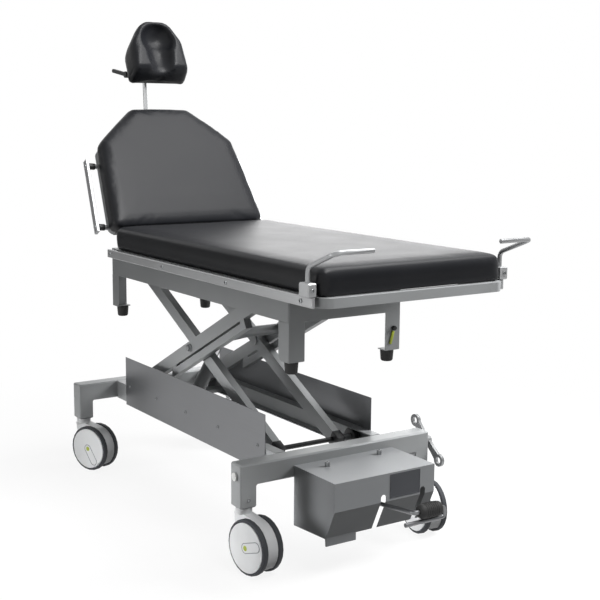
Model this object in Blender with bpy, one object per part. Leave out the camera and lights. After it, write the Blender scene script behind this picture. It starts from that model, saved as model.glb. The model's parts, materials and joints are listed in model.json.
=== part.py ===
"""Mobile treatment table with a foot-pumped scissor lift, raised backrest and headrest.

Metres, +Z up. +X runs from the head end to the foot end, -Y is the table's left side
seen from the foot end. The finished model is centred over the floor origin.
"""

import math

import bmesh
import bpy
from mathutils import Matrix, Vector

# Fits
GAP = 0.0003             # seam between two pieces that touch
RUN = 0.0004             # running clearance round a pin, per side

# Casters
WHEEL_D = 0.150
WHEEL_W = 0.017
WHEEL_EDGE = 0.005       # rounding of the tread's edges
WHEEL_SPACE = 0.034      # between the two wheels of a caster
CASTER_TRAIL = 0.050
RIM_T = 0.0070           # tread left round the recess for the wheel's cover
RIM_DISH = 0.002
FORK_IN = 0.0035         # the housing's disc inside the treads
NECK_D = 0.046
NECK_H = 0.018
STEM_D = 0.022
STEM_L = 0.055
AXLE_D = 0.012
CASTER_TURN = {"foot_left": 8.0, "foot_right": -8.0, "head_left": 23.0, "head_right": -23.0}

# Base beams and rails
BEAM_W = 0.053
BEAM_H = 0.058
BEAM_LEN = 0.630
BEAM_TOP = 0.287
BEAM_WALL = 0.003
BEAM_EDGE = 0.004
LEG_W = 0.050
LEG_BOTTOM = 0.168
SOCKET_H = 0.040         # solid caster socket at the foot of each leg
RAIL_Y = 0.178           # outer face of the base rails
RAIL_DEPTH = 0.033
RAIL_WALL = 0.003
PLATE_T = 0.002
PLATE_HEAD = 0.077       # plate's ends from the beams
PLATE_FOOT = 0.0455
PLATE_Z0 = 0.221
PLATE_Z1 = 0.383

# Scissor lift
PIVOT_X = -0.478         # fixed pivots, at the head end
PIVOT_Z = 0.258
PIVOT_IN = 0.029         # fixed pivots from the head beam's face
ARM_LEN = 0.968          # pivot to pivot
LIFT_ANGLE = 26.87       # degrees from level, as photographed
LIFT_LOW = 12.97         # degrees from level, fully lowered
ARM_DEPTH = 0.040
ARM_T = 0.024
OUTER_Y = 0.118          # inner face of the outer arms
INNER_Y = 0.090          # inner face of the inner arms
TIE_DEPTH = 0.022        # tie bar under each outer arm
TIE_SLOT = 0.007
TIE_FROM = 0.350
TIE_TO = 0.830
PIN_D = 0.018
PIN_HEAD_D = 0.030
PIN_HEAD_T = 0.004
BASE_ROLLER_D = 0.0510
BASE_ROLLER_W = 0.020
ROLLER_STOP = 0.0047     # roller short of the foot beam, fully lowered
TOP_ROLLER_D = 0.0440
TOP_ROLLER_W = 0.013
CROSS_D = 0.032          # cross tubes between the arms
OUTER_CROSS_S = 0.600    # along the outer arm, from its lower pivot
INNER_ROD_D = 0.014      # rod between the inner arms' lower ends

# Hydraulic cylinder
RAM_X = -0.3574          # barrel pivot
RAM_Z = 0.165
RAM_ARM_S = 0.4517       # rod pivot, along the outer arm and above its middle line
RAM_ARM_UP = 0.031
RAM_PIN_D = 0.014
RAM_EYE_PLAY = 0.0048    # the eye's play round its pin
RAM_EYE_D = 0.034
RAM_EYE_W = 0.022
BARREL_D = 0.044
BARREL_BORE = 0.024
BARREL_L = 0.300         # pivot to gland
RAM_ROD_D = 0.022
LUG_T = 0.008
LUG_R = 0.017
RAM_NECK = 0.042         # the barrel is narrow up to here, to pass the clevis
CROSSBAR_W = 0.050
CROSSBAR_H = 0.014
CROSSBAR_BACK = 0.038    # bar's middle behind the barrel's pivot

# Lift frame, heights from the upper scissor pivots
LIFT_Y = 0.183           # outer face
LIFT_X0 = -0.518         # outer ends
LIFT_OVER = 0.1037       # frame's foot end beyond the rollers, fully lowered
LIFT_Z0 = -0.0435
LIFT_Z1 = 0.0444
LIFT_T = 0.003
LIFT_DEPTH = 0.024
LIFT_LEG_W = 0.050
LIFT_LEG_Z = -0.1500
LIFT_CHAMFER = 0.012     # cut corner at the foot of each leg
FOOT_D = 0.038
FOOT_H = 0.033

# Seat, heights from the upper scissor pivots
FRAME_H = 0.025
FRAME_W = 0.025
FRAME_X0 = -0.290
FRAME_X1 = 0.872
FRAME_Y = 0.283
FRAME_R = 0.030
FRAME_BARS = (-0.180, 0.165, 0.510)
SEAT_X0 = -0.279
SEAT_X1 = 0.863
SEAT_Y = 0.286
SEAT_T = 0.068
SEAT_R = 0.022
SIDE_RAIL_T = 0.010
SIDE_RAIL_H = 0.025
SIDE_RAIL_Y = 0.301      # outer face
SIDE_RAIL_X0 = -0.290
SIDE_RAIL_X1 = 0.846
SPACER_D = 0.016
SPACER_X = (-0.270, 0.087, 0.450, 0.800)

# Push handles
HANDLE_D = 0.012
HANDLE_X = 0.828
HANDLE_RISE = 0.070      # straight stem above the rail
HANDLE_LEAN = 0.112
HANDLE_LEAN_Z = 0.044
HANDLE_REACH = 0.105
HANDLE_BEND = 0.022
HANDLE_SEAT = 0.026      # depth of the stem in its clamp
CLAMP_X = 0.040
CLAMP_Y = 0.026
CLAMP_Z = 0.034

# Backrest, along the slope (u) and out of its face (w) from the hinge
HINGE_X = -0.312
HINGE_UP = 0.0917        # above the upper scissor pivots
BACK_LEAN = 58.5         # degrees from level
BACK_U0 = 0.0256
BACK_SHOULDER = 0.312
BACK_LEN = 0.441
BACK_W0 = 0.556
BACK_W1 = 0.499
BACK_W2 = 0.215
BACK_T = 0.058
BACK_FACE = 0.0462
BACK_R = 0.024
BACK_FRAME_T = 0.025
BACK_FRAME_W = 0.028
BACK_FRAME_IN = 0.012    # frame inside the cushion's edge
BACK_RAIL_OUT = 0.033    # rail's outer face beyond the cushion's edge
BACK_RAIL_U0 = 0.040
BACK_RAIL_U1 = 0.300
HINGE_PIN_D = 0.014
HINGE_EAR_T = 0.008
HINGE_EAR_Y = 0.228
HINGE_EAR_R = 0.016

# Headrest
POST_U = 0.5201          # a point on the post's axis, in the backrest's frame
POST_W = -0.0449
POST_TILT = 28.0         # degrees forward of the backrest's slope
POST_D = 0.015
POST_DOWN = 0.165
POST_UP = 0.108
SOCKET_L = 0.060
SOCKET_D = 0.032
SOCKET_AT = -0.110       # socket's middle along the post
HUB_D = 0.024
HUB_W = 0.100
HEAD_HEEL = (-0.044, 0.0900)   # cushion's four edges from the tilt bolt, (up, forward)
HEAD_NAPE = (0.110, 0.0180)
HEAD_CHIN = (0.009, 0.1470)
HEAD_CROWN = (0.181, 0.0940)
HEAD_HEEL_W = 0.218
HEAD_CHIN_W = 0.198
HEAD_TOP_W = 0.104
HEAD_SPRING = 0.60       # where the sides turn into the arch
HEAD_EDGE_R = 0.016
HEAD_ARCH_R = 0.060
BOWL_R = (0.057, 0.064, 0.060)
BOWL_AT = 0.59
BOWL_PROUD = 0.013
CHANNEL_R = 0.0486
CHANNEL_PROUD = 0.0240
BRACKET_T = 0.005
EAR_R = 0.012
EAR_T = 0.006
TILT_BOLT_D = 0.010
LEVER_L = 0.105
LEVER_TURN = -78.0       # degrees, from the post's direction

# Brake
BRAKE_Z = 0.252
BRAKE_AF = 0.012
BRAKE_EYES = 0.144
BRAKE_BAR = 0.019
BRAKE_T = 0.009
BRAKE_EYE_R = 0.0185
BRAKE_HOLE_R = 0.0100
BRAKE_TILT = 41.0
BRAKE_STAND = 0.012       # lever clear of the beam's end

# Foot pump
PUMP_DEPTH = 0.1872
PUMP_Y0 = -0.150
PUMP_Y1 = 0.178
PUMP_Z1 = 0.262
PUMP_FOLD_Z = 0.186
PUMP_TOE_IN = 0.038
PUMP_TOE_Z = 0.104
PUMP_HEEL_Z = 0.096
PUMP_T = 0.002
PUMP_LIP_L = 0.096       # lip under the toe, at the near end
PUMP_LIP = 0.020
SWING_CLEAR = 0.004      # cover clear of the caster's swing
SLOT_W = 0.017
SLOT_Y = (0.007, 0.138)
SLOT_TOP = 0.206
PEDAL_IN = 0.0792        # pedal's pivot from the cover's rear
PEDAL_Z = 0.168
PEDAL_D = 0.012
PEDAL_OUT = 0.127        # pad's middle beyond the cover's front
PEDAL_RISE = 0.026
PEDAL_HUB_D = 0.026
PEDAL_HUB_W = 0.020
PEDAL_PIN_D = 0.012
PEDAL_BEND = 0.012
PEDAL_TAIL = 0.0265      # bare end of the bar below the pad
PEDAL_TAIL_Y = -0.022
UNIT_DEPTH = 0.052
UNIT_W = 0.120
UNIT_Z0 = 0.120
UNIT_LOW = 0.008         # pump's top under the cover's
PEDAL_LUG_R = 0.014
PEDAL_LUG_T = 0.008
PAD_D = 0.039
PAD_Y0 = 0.002
PAD_Y1 = 0.092

BEAM_BOTTOM = BEAM_TOP - BEAM_H
HEAD_BEAM_X = PIVOT_X - PIVOT_IN - BEAM_W / 2
ROLLER_X = PIVOT_X + ARM_LEN * math.cos(math.radians(LIFT_LOW))
FOOT_BEAM_X = ROLLER_X + BASE_ROLLER_D / 2 + ROLLER_STOP + BEAM_W / 2
LIFT_X1 = ROLLER_X + LIFT_OVER
BASE_X0 = HEAD_BEAM_X + BEAM_W / 2
BASE_X1 = FOOT_BEAM_X - BEAM_W / 2
PLATE_X0 = BASE_X0 + PLATE_HEAD
PLATE_X1 = BASE_X1 - PLATE_FOOT
PUMP_X0 = FOOT_BEAM_X + BEAM_W / 2 + GAP
PUMP_X1 = PUMP_X0 + PUMP_DEPTH
PUMP_TOE_X = PUMP_X1 - PUMP_TOE_IN
PEDAL_X = PUMP_X0 + PEDAL_IN
PEDAL_END_X = PUMP_X1 + PEDAL_OUT
SWING_R = math.hypot(CASTER_TRAIL + WHEEL_D / 2, WHEEL_SPACE / 2 + WHEEL_W) + SWING_CLEAR
LEG_Y = BEAM_LEN / 2 - LEG_W / 2
SIDES = {"left": -1, "right": 1}
ENDS = {"foot": 1, "head": -1}
BEAMS = {"foot": FOOT_BEAM_X, "head": HEAD_BEAM_X}
LIFT_ENDS = {"foot": LIFT_X1, "head": LIFT_X0}


# Materials
def material(name, colour, roughness, metallic):
    mat = bpy.data.materials.new(name)
    mat.use_nodes = True
    shader = mat.node_tree.nodes["Principled BSDF"]
    shader.inputs["Base Color"].default_value = (*colour, 1.0)
    shader.inputs["Roughness"].default_value = roughness
    shader.inputs["Metallic"].default_value = metallic
    mat.diffuse_color = (*colour, 1.0)
    return mat


def make_materials():
    return {
        "paint": material("silver_paint", (0.42, 0.43, 0.44), 0.45, 0.35),
        "steel": material("brushed_stainless", (0.50, 0.50, 0.50), 0.32, 1.0),
        "chrome": material("bright_steel", (0.72, 0.72, 0.72), 0.18, 1.0),
        "cover": material("grey_cover", (0.22, 0.23, 0.24), 0.5, 0.2),
        "black": material("black_plastic", (0.012, 0.012, 0.013), 0.45, 0.0),
        "rubber": material("black_rubber", (0.015, 0.015, 0.015), 0.8, 0.0),
        "vinyl": material("black_leatherette", (0.018, 0.018, 0.02), 0.5, 0.0),
        "wheel": material("grey_wheel", (0.33, 0.34, 0.34), 0.5, 0.0),
        "plastic": material("light_grey_plastic", (0.52, 0.53, 0.52), 0.5, 0.0),
    }


# Modelling helpers
def solid(name, bm, mat, parent):
    """A closed mesh as a named object under a parent empty."""
    bmesh.ops.remove_doubles(bm, verts=bm.verts[:], dist=1e-6)
    bmesh.ops.recalc_face_normals(bm, faces=bm.faces[:])
    mesh = bpy.data.meshes.new(name)
    bm.to_mesh(mesh)
    bm.free()
    mesh.materials.append(mat)
    mesh.shade_smooth()
    mesh.set_sharp_from_angle(angle=math.radians(32))
    obj = bpy.data.objects.new(name, mesh)
    bpy.context.scene.collection.objects.link(obj)
    obj.parent = parent
    return obj


def empty(name, parent, location=(0, 0, 0), turn_y=0.0, turn_z=0.0):
    """A pivot or group; turn_y tips +X upwards, in degrees."""
    obj = bpy.data.objects.new(name, None)
    bpy.context.scene.collection.objects.link(obj)
    obj.parent = parent
    obj.location = location
    obj.rotation_euler = (0, -math.radians(turn_y), math.radians(turn_z))
    return obj


def combine(obj, bm, operation):
    """Applies a Boolean between an object and a scratch mesh in the same frame."""
    tool = solid(obj.name + "_tool", bm, obj.data.materials[0], obj.parent)
    tool.hide_render = True
    tool.display_type = "WIRE"
    step = obj.modifiers.new(operation.lower(), "BOOLEAN")
    step.operation = operation
    step.solver = "EXACT"
    step.object = tool
    bpy.context.view_layer.update()
    graph = bpy.context.evaluated_depsgraph_get()
    mesh = bpy.data.meshes.new_from_object(obj.evaluated_get(graph))
    obj.modifiers.clear()
    old = obj.data
    obj.data = mesh
    mesh.name = obj.name
    bpy.data.meshes.remove(old)
    bpy.data.objects.remove(tool)
    mesh.shade_smooth()
    mesh.set_sharp_from_angle(angle=math.radians(32))
    return obj


def add(obj, *shapes):
    for bm in shapes:
        combine(obj, bm, "UNION")
    return obj


def cut(obj, *shapes):
    for bm in shapes:
        combine(obj, bm, "DIFFERENCE")
    return obj


def box(x0, x1, y0, y1, z0, z1, edge=0.0):
    bm = bmesh.new()
    size = (abs(x1 - x0), abs(y1 - y0), abs(z1 - z0))
    centre = Matrix.Translation(((x0 + x1) / 2, (y0 + y1) / 2, (z0 + z1) / 2))
    bmesh.ops.create_cube(bm, size=1.0, matrix=centre @ Matrix.Diagonal((*size, 1)))
    if edge:
        bmesh.ops.bevel(bm, geom=bm.edges[:], offset=edge, segments=1, profile=0.5, affect="EDGES")
    return bm


AXES = {
    "X": Matrix(((0, 0, 1), (1, 0, 0), (0, 1, 0))).to_4x4(),
    "Y": Matrix(((1, 0, 0), (0, 0, 1), (0, 1, 0))).to_4x4(),
    "Z": Matrix.Identity(4),
}


def rod(axis, centre, radius, start, end, sides=16, end_radius=None):
    """A cylinder or cone along an axis, from start to end on that axis."""
    bm = bmesh.new()
    far = radius if end_radius is None else end_radius
    place = Matrix.Translation((0, 0, (start + end) / 2))
    bmesh.ops.create_cone(bm, cap_ends=True, segments=sides, radius1=radius, radius2=far,
                          depth=end - start, matrix=place)
    bmesh.ops.transform(bm, matrix=Matrix.Translation(centre) @ AXES[axis], verts=bm.verts[:])
    return bm


def prism(axis, outline, start, end, edge=0.0):
    """A 2-D outline drawn along the two axes after the given one, in XYZ order, and extruded."""
    bm = bmesh.new()
    place = {"X": lambda a, b, d: (d, a, b), "Y": lambda a, b, d: (a, d, b),
             "Z": lambda a, b, d: (a, b, d)}[axis]
    face = bm.faces.new([bm.verts.new(place(a, b, start)) for a, b in outline])
    grown = bmesh.ops.extrude_face_region(bm, geom=[face])
    step = Vector(place(0, 0, end - start))
    moved = [v for v in grown["geom"] if isinstance(v, bmesh.types.BMVert)]
    bmesh.ops.translate(bm, vec=step, verts=moved)
    bmesh.ops.recalc_face_normals(bm, faces=bm.faces[:])
    if edge:
        bmesh.ops.bevel(bm, geom=bm.edges[:], offset=edge, segments=1, profile=0.5, affect="EDGES")
    return bm


def turned(axis, centre, profile, sides=32):
    """A closed outline of (radius, along) points turned about an axis."""
    bm = bmesh.new()
    rings = []
    for radius, along in profile:
        if radius < 1e-9:
            rings.append([bm.verts.new((0, 0, along))])
            continue
        turn = [2 * math.pi * i / sides for i in range(sides)]
        rings.append([bm.verts.new((radius * math.cos(a), radius * math.sin(a), along)) for a in turn])
    for first, second in zip(rings, rings[1:] + rings[:1]):
        if len(first) == 1 and len(second) == 1:
            continue
        for i in range(sides):
            j = (i + 1) % sides
            corners = [first[i % len(first)], first[j % len(first)],
                       second[j % len(second)], second[i % len(second)]]
            bm.faces.new(list(dict.fromkeys(corners)))
    bmesh.ops.transform(bm, matrix=Matrix.Translation(centre) @ AXES[axis], verts=bm.verts[:])
    bmesh.ops.recalc_face_normals(bm, faces=bm.faces[:])
    return bm


def arc(centre, radius, start, end, steps):
    """Points on a circle, angles in degrees."""
    turn = [math.radians(start + (end - start) * i / steps) for i in range(steps + 1)]
    return [(centre[0] + radius * math.cos(a), centre[1] + radius * math.sin(a)) for a in turn]


def rounded(corners, radii, steps=5):
    """A polygon with its corners turned into arcs."""
    outline = []
    count = len(corners)
    for i, corner in enumerate(corners):
        here = Vector(corner)
        back = (Vector(corners[i - 1]) - here).normalized()
        ahead = (Vector(corners[(i + 1) % count]) - here).normalized()
        radius = radii[i] if isinstance(radii, (list, tuple)) else radii
        half = back.angle(ahead) / 2
        middle = here + (back + ahead).normalized() * radius / math.sin(half)
        start = here + back * radius / math.tan(half) - middle
        end = here + ahead * radius / math.tan(half) - middle
        sweep = start.angle_signed(end)
        for k in range(steps + 1):
            spoke = start.copy()
            spoke.rotate(Matrix.Rotation(-sweep * k / steps, 2))
            outline.append(tuple(middle + spoke))
    return outline


def shrunk(outline, inset):
    """A convex outline, counter-clockwise, moved inwards by a distance."""
    points = [Vector(p) for p in outline]
    result = []
    for i, point in enumerate(points):
        back = (point - points[i - 1]).normalized()
        ahead = (points[(i + 1) % len(points)] - point).normalized()
        normal = Vector((-back.y - ahead.y, back.x + ahead.x)).normalized()
        lean = max(0.5, normal.dot(Vector((-ahead.y, ahead.x))))
        result.append(tuple(point + normal * inset / lean))
    return result


def cushion(corners, radius, layers, steps=5):
    """Rings of one rounded outline, each (inset, height), closed below and above."""
    bm = bmesh.new()
    rings = []
    for inset, height in layers:
        outline = rounded(shrunk(corners, inset), max(radius - inset, radius * 0.25), steps)
        rings.append([bm.verts.new((*p, height)) for p in outline])
    for low, high in zip(rings, rings[1:]):
        for i in range(len(low)):
            j = (i + 1) % len(low)
            bm.faces.new((low[i], low[j], high[j], high[i]))
    bm.faces.new(rings[0][::-1])
    bm.faces.new(rings[-1])
    return bm


def cushion_layers(thickness, pull=0.005, soft=0.014, crown=0.004):
    """Sides drawn in to the board below, a soft upper edge and a low crown."""
    return [(pull + 0.004, 0.0), (pull, 0.003), (0.002, thickness * 0.30), (0.0, thickness * 0.52),
            (0.001, thickness - soft), (soft * 0.30, thickness - soft * 0.30),
            (soft, thickness), (soft * 3, thickness + crown * 0.7), (soft * 7, thickness + crown)]


def swept(name, points, radius, mat, parent, sides=3):
    """A round bar along a path, as a closed mesh."""
    curve = bpy.data.curves.new(name, "CURVE")
    curve.dimensions = "3D"
    curve.bevel_depth = radius
    curve.bevel_resolution = sides
    curve.use_fill_caps = True
    spline = curve.splines.new("POLY")
    spline.points.add(len(points) - 1)
    for point, place in zip(spline.points, points):
        point.co = (*place, 1.0)
    maker = bpy.data.objects.new(name + "_path", curve)
    bpy.context.scene.collection.objects.link(maker)
    bpy.context.view_layer.update()
    mesh = bpy.data.meshes.new_from_object(maker.evaluated_get(bpy.context.evaluated_depsgraph_get()))
    bpy.data.objects.remove(maker)
    bm = bmesh.new()
    bm.from_mesh(mesh)
    bpy.data.meshes.remove(mesh)
    return solid(name, bm, mat, parent)


def bent(corners, radius, steps=5):
    """A path through corner points with round bends."""
    path = [Vector(corners[0])]
    for before, corner, after in zip(corners, corners[1:], corners[2:]):
        here = Vector(corner)
        back = (Vector(before) - here).normalized()
        ahead = (Vector(after) - here).normalized()
        reach = radius / math.tan(back.angle(ahead) / 2)
        start, end = here + back * reach, here + ahead * reach
        for k in range(steps + 1):
            t = k / steps
            path.append(start * (1 - t) ** 2 + here * 2 * t * (1 - t) + end * t ** 2)
    return path + [Vector(corners[-1])]


# Base
def make_beams(mats, root):
    """Beam with a leg at each end, hollow, with a solid caster socket in each leg."""
    half = BEAM_LEN / 2

    def outline(wall, low):
        side = half - wall
        inner = half - LEG_W + wall
        return [(-side, low), (-inner, low), (-inner, BEAM_BOTTOM + wall), (inner, BEAM_BOTTOM + wall),
                (inner, low), (side, low), (side, BEAM_TOP - wall), (-side, BEAM_TOP - wall)]

    for end, x in BEAMS.items():
        shell = prism("X", outline(0, LEG_BOTTOM), x - BEAM_W / 2, x + BEAM_W / 2, BEAM_EDGE)
        beam = solid(end + "_beam", shell, mats["paint"], root)
        inside = BEAM_W / 2 - BEAM_WALL
        cut(beam, prism("X", outline(BEAM_WALL, LEG_BOTTOM + SOCKET_H), x - inside, x + inside))
        for side in SIDES.values():
            cut(beam, rod("Z", (x, side * LEG_Y, 0), STEM_D / 2 + RUN, LEG_BOTTOM - 0.01,
                          LEG_BOTTOM + STEM_L + 0.004))
        if end == "foot":
            cut(beam, rod("Y", (x, 0, BRAKE_Z), BRAKE_AF / 2 / math.cos(math.pi / 6) + RUN,
                          -half - 0.01, half + 0.01))


def make_base_rails(mats, root):
    """Channels, open inwards, for the lower rollers, with a bearing block at the fixed pivot."""
    x0, x1 = BASE_X0 + GAP, BASE_X1 - GAP
    for name, side in SIDES.items():
        web, tip, wall = RAIL_Y, RAIL_Y - RAIL_DEPTH, RAIL_WALL
        profile = [(web, BEAM_BOTTOM), (web, BEAM_TOP), (tip, BEAM_TOP), (tip, BEAM_TOP - wall),
                   (web - wall, BEAM_TOP - wall), (web - wall, BEAM_BOTTOM + wall),
                   (tip, BEAM_BOTTOM + wall), (tip, BEAM_BOTTOM)]
        rail = solid("base_rail_" + name, prism("X", [(side * y, z) for y, z in profile], x0, x1),
                     mats["paint"], root)
        block = sorted((side * (tip + 0.001), side * (web - 0.001)))
        add(rail, box(x0 + 0.001, PIVOT_X + 0.025, *block, BEAM_BOTTOM + 0.001, BEAM_TOP - 0.001))
        bore = sorted((side * (tip - 0.01), side * (web - wall)))
        cut(rail, rod("Y", (PIVOT_X, 0, PIVOT_Z), PIN_D / 2 + RUN, *bore))


def make_side_plates(mats, root):
    for name, side in SIDES.items():
        faces = sorted((side * (RAIL_Y + GAP), side * (RAIL_Y + GAP + PLATE_T)))
        plate = box(PLATE_X0, PLATE_X1, *faces, PLATE_Z0, PLATE_Z1)
        solid("side_plate_" + name, plate, mats["steel"], root)


def make_crossbar(mats, root):
    """Bar in the base rails with the cylinder's clevis hanging from it."""
    reach = RAIL_Y - RAIL_WALL - GAP
    low = BEAM_BOTTOM + RAIL_WALL + GAP
    middle = RAM_X - CROSSBAR_BACK
    bar = solid("cylinder_crossbar", box(middle - CROSSBAR_W / 2, middle + CROSSBAR_W / 2, -reach, reach,
                                         low, low + CROSSBAR_H, 0.002), mats["paint"], root)
    rise = low + CROSSBAR_H / 2
    lean = math.degrees(math.atan2(rise - RAM_Z, -CROSSBAR_BACK))
    cheek = arc((RAM_X, RAM_Z), LUG_R, lean + 90, lean + 270, 10) + [(middle + LUG_R, rise), (middle - LUG_R, rise)]
    inner = RAM_EYE_W / 2 + GAP * 2
    for side in SIDES.values():
        add(bar, prism("Y", cheek, *sorted((side * inner, side * (inner + LUG_T)))))
    add(bar, rod("Y", (RAM_X, 0, RAM_Z), RAM_PIN_D / 2, -inner - LUG_T - 0.003, inner + LUG_T + 0.003))


# Casters
def make_casters(mats, root):
    for end, x in BEAMS.items():
        for side_name, side in SIDES.items():
            place = end + "_" + side_name
            pivot = empty("caster_" + place, root, (x, side * LEG_Y, 0),
                          turn_z=CASTER_TURN[place])
            make_housing(place, mats, pivot)
            axle = empty("axle_" + place, pivot, (CASTER_TRAIL, 0, WHEEL_D / 2))
            for wheel, hand in (("left", -1), ("right", 1)):
                make_wheel(f"caster_{place}_wheel_{wheel}", hand, mats, axle)


def make_housing(place, mats, pivot):
    """Disc between the wheels, running up into a round neck with its stem and axle."""
    axle_z = WHEEL_D / 2
    half = WHEEL_SPACE / 2 - RUN * 2
    top = LEG_BOTTOM - GAP
    low = top - NECK_H
    back = -NECK_D / 2 + 0.003
    radius = WHEEL_D / 2 - FORK_IN
    outline = arc((CASTER_TRAIL, axle_z), radius, -45, 75, 10)
    outline += [(NECK_D / 2 - 0.003, low + 0.004), (back, low + 0.004)]
    outline += arc((CASTER_TRAIL, axle_z), radius, 152, 225, 7)
    housing = solid("caster_" + place + "_housing", prism("Y", outline, -half, half),
                    mats["plastic"], pivot)
    add(housing, turned("Z", (0, 0, 0), [(0, low), (NECK_D / 2 - 0.003, low), (NECK_D / 2, low + 0.004),
                                         (NECK_D / 2, top), (STEM_D / 2, top),
                                         (STEM_D / 2, top + STEM_L - 0.002),
                                         (STEM_D / 2 - 0.002, top + STEM_L), (0, top + STEM_L)], 18))
    reach = WHEEL_SPACE / 2 + WHEEL_W * 0.72
    add(housing, rod("Y", (CASTER_TRAIL, 0, axle_z), AXLE_D / 2, -reach, reach, 12))


def make_wheel(name, hand, mats, axle):
    """Moulded wheel with a rounded tread, a dished cover and a blind bore for the axle."""
    r, w, e = WHEEL_D / 2, WHEEL_W, WHEEL_EDGE
    bore, depth = AXLE_D / 2 + RUN, WHEEL_W * 0.72 + 2 * RUN
    tread = [(r - e + e * math.sin(a), w - e + e * math.cos(a)) for a in (0, math.pi / 4, math.pi / 2)]
    rim = r - RIM_T
    profile = [(0, depth), (0, w - RIM_DISH), (rim - RIM_DISH / 2, w - RIM_DISH), (rim, w)]
    profile += tread + [(r, e * 0.6), (r - e * 0.6, 0), (bore, 0), (bore, depth)]
    start = WHEEL_SPACE / 2
    solid(name, turned("Y", (0, 0, 0), [(radius, hand * (start + along)) for radius, along in profile], 24),
          mats["wheel"], axle)


# Scissor lift
def arm_outline(x0, x1, depth):
    half = depth / 2
    return arc((x1, 0), half, -90, 90, 6) + arc((x0, 0), half, 90, 270, 6)


def make_outer_arms(mats, lift):
    """Arms along local X, each with its tie bar, crossing pin and fixed pivot pin."""
    low, high = -ARM_DEPTH / 2 - TIE_SLOT - TIE_DEPTH, -ARM_DEPTH / 2 - TIE_SLOT
    for name, side in SIDES.items():
        y0, y1 = sorted((side * OUTER_Y, side * (OUTER_Y + ARM_T)))
        arm = solid("outer_arm_" + name, prism("Y", arm_outline(0, ARM_LEN, ARM_DEPTH), y0, y1),
                    mats["paint"], lift)
        corners = [(TIE_FROM, 0), (TIE_FROM - 0.03, low), (TIE_TO, low), (TIE_TO, 0)]
        add(arm, prism("Y", corners, y0 + 0.001, y1 - 0.001))
        slot = [(TIE_FROM + 0.02, -ARM_DEPTH / 2), (TIE_FROM + 0.015, high),
                (TIE_TO - 0.025, high), (TIE_TO - 0.025, -ARM_DEPTH / 2)]
        cut(arm, prism("Y", slot, y0 - 0.01, y1 + 0.01))
        tip = RAIL_Y - RAIL_WALL - 0.002
        add(arm, rod("Y", (0, 0, 0), PIN_D / 2, *sorted((side * (OUTER_Y + 0.002), side * tip)), 14))
        crossing = sorted((side * INNER_Y, side * (OUTER_Y + ARM_T - 0.002)))
        add(arm, rod("Y", (ARM_LEN / 2, 0, 0), PIN_D / 2, *crossing, 14))
        head = sorted((side * (INNER_Y - GAP - PIN_HEAD_T), side * (INNER_Y - GAP)))
        add(arm, rod("Y", (ARM_LEN / 2, 0, 0), PIN_HEAD_D / 2, *head, 14))
        bolt = sorted((side * (OUTER_Y + ARM_T - 0.001), side * (OUTER_Y + ARM_T + PIN_HEAD_T * 0.6)))
        add(arm, rod("Y", (ARM_LEN / 2, 0, 0), PIN_HEAD_D / 2 * 0.8, *bolt, 12))
        add(arm, rod("Y", (ARM_LEN / 2, 0, 0), PIN_D / 2 - 0.001,
                     *sorted((side * (INNER_Y - GAP - 0.001), side * (INNER_Y + 0.001))), 12))
        roller = LIFT_Y - LIFT_T - 0.001
        add(arm, rod("Y", (ARM_LEN, 0, 0), PIN_D / 2, *sorted((side * (OUTER_Y + 0.002), side * roller)), 14))


def make_outer_cross(mats, lift):
    """Cross tube between the outer arms with two lugs that hold the cylinder rod's pin."""
    reach = OUTER_Y - GAP
    tube = solid("outer_cross_tube", rod("Y", (OUTER_CROSS_S, 0, 0), CROSS_D / 2, -reach, reach, 16),
                 mats["paint"], lift)
    tilt = math.degrees(math.atan2(RAM_ARM_UP, RAM_ARM_S - OUTER_CROSS_S))
    lug = arc((RAM_ARM_S, RAM_ARM_UP), LUG_R, tilt - 90, tilt + 90, 8)
    lug += arc((OUTER_CROSS_S, 0), CROSS_D / 2 - 0.002, tilt + 90, tilt + 270, 8)
    inner = RAM_EYE_W / 2 + GAP * 2
    for side in SIDES.values():
        add(tube, prism("Y", lug, *sorted((side * inner, side * (inner + LUG_T)))))
    end = inner + LUG_T + 0.003
    add(tube, rod("Y", (RAM_ARM_S, 0, RAM_ARM_UP), RAM_PIN_D / 2, -end, end, 14))


def make_inner_arms(mats, cross):
    """Arms from the head end down to the foot end, with the upper pivot pin and the lower axle."""
    half = ARM_LEN / 2
    for name, side in SIDES.items():
        y0, y1 = sorted((side * INNER_Y, side * (INNER_Y + ARM_T)))
        arm = solid("inner_arm_" + name, prism("Y", arm_outline(-half, half, ARM_DEPTH), y0, y1),
                    mats["paint"], cross)
        cut(arm, rod("Y", (0, 0, 0), PIN_D / 2 + RUN, y0 - 0.01, y1 + 0.01, 14))
        tip = LIFT_Y - LIFT_T - 0.001
        add(arm, rod("Y", (-half, 0, 0), PIN_D / 2, *sorted((side * (INNER_Y + 0.002), side * tip)), 14))
        tip = RAIL_Y - RAIL_WALL - 0.004
        add(arm, rod("Y", (half, 0, 0), PIN_D / 2, *sorted((side * (INNER_Y + 0.002), side * tip)), 14))
    reach = INNER_Y - GAP
    solid("inner_cross_rod", rod("Y", (half, 0, 0), INNER_ROD_D / 2, -reach, reach, 16), mats["black"], cross)


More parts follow.
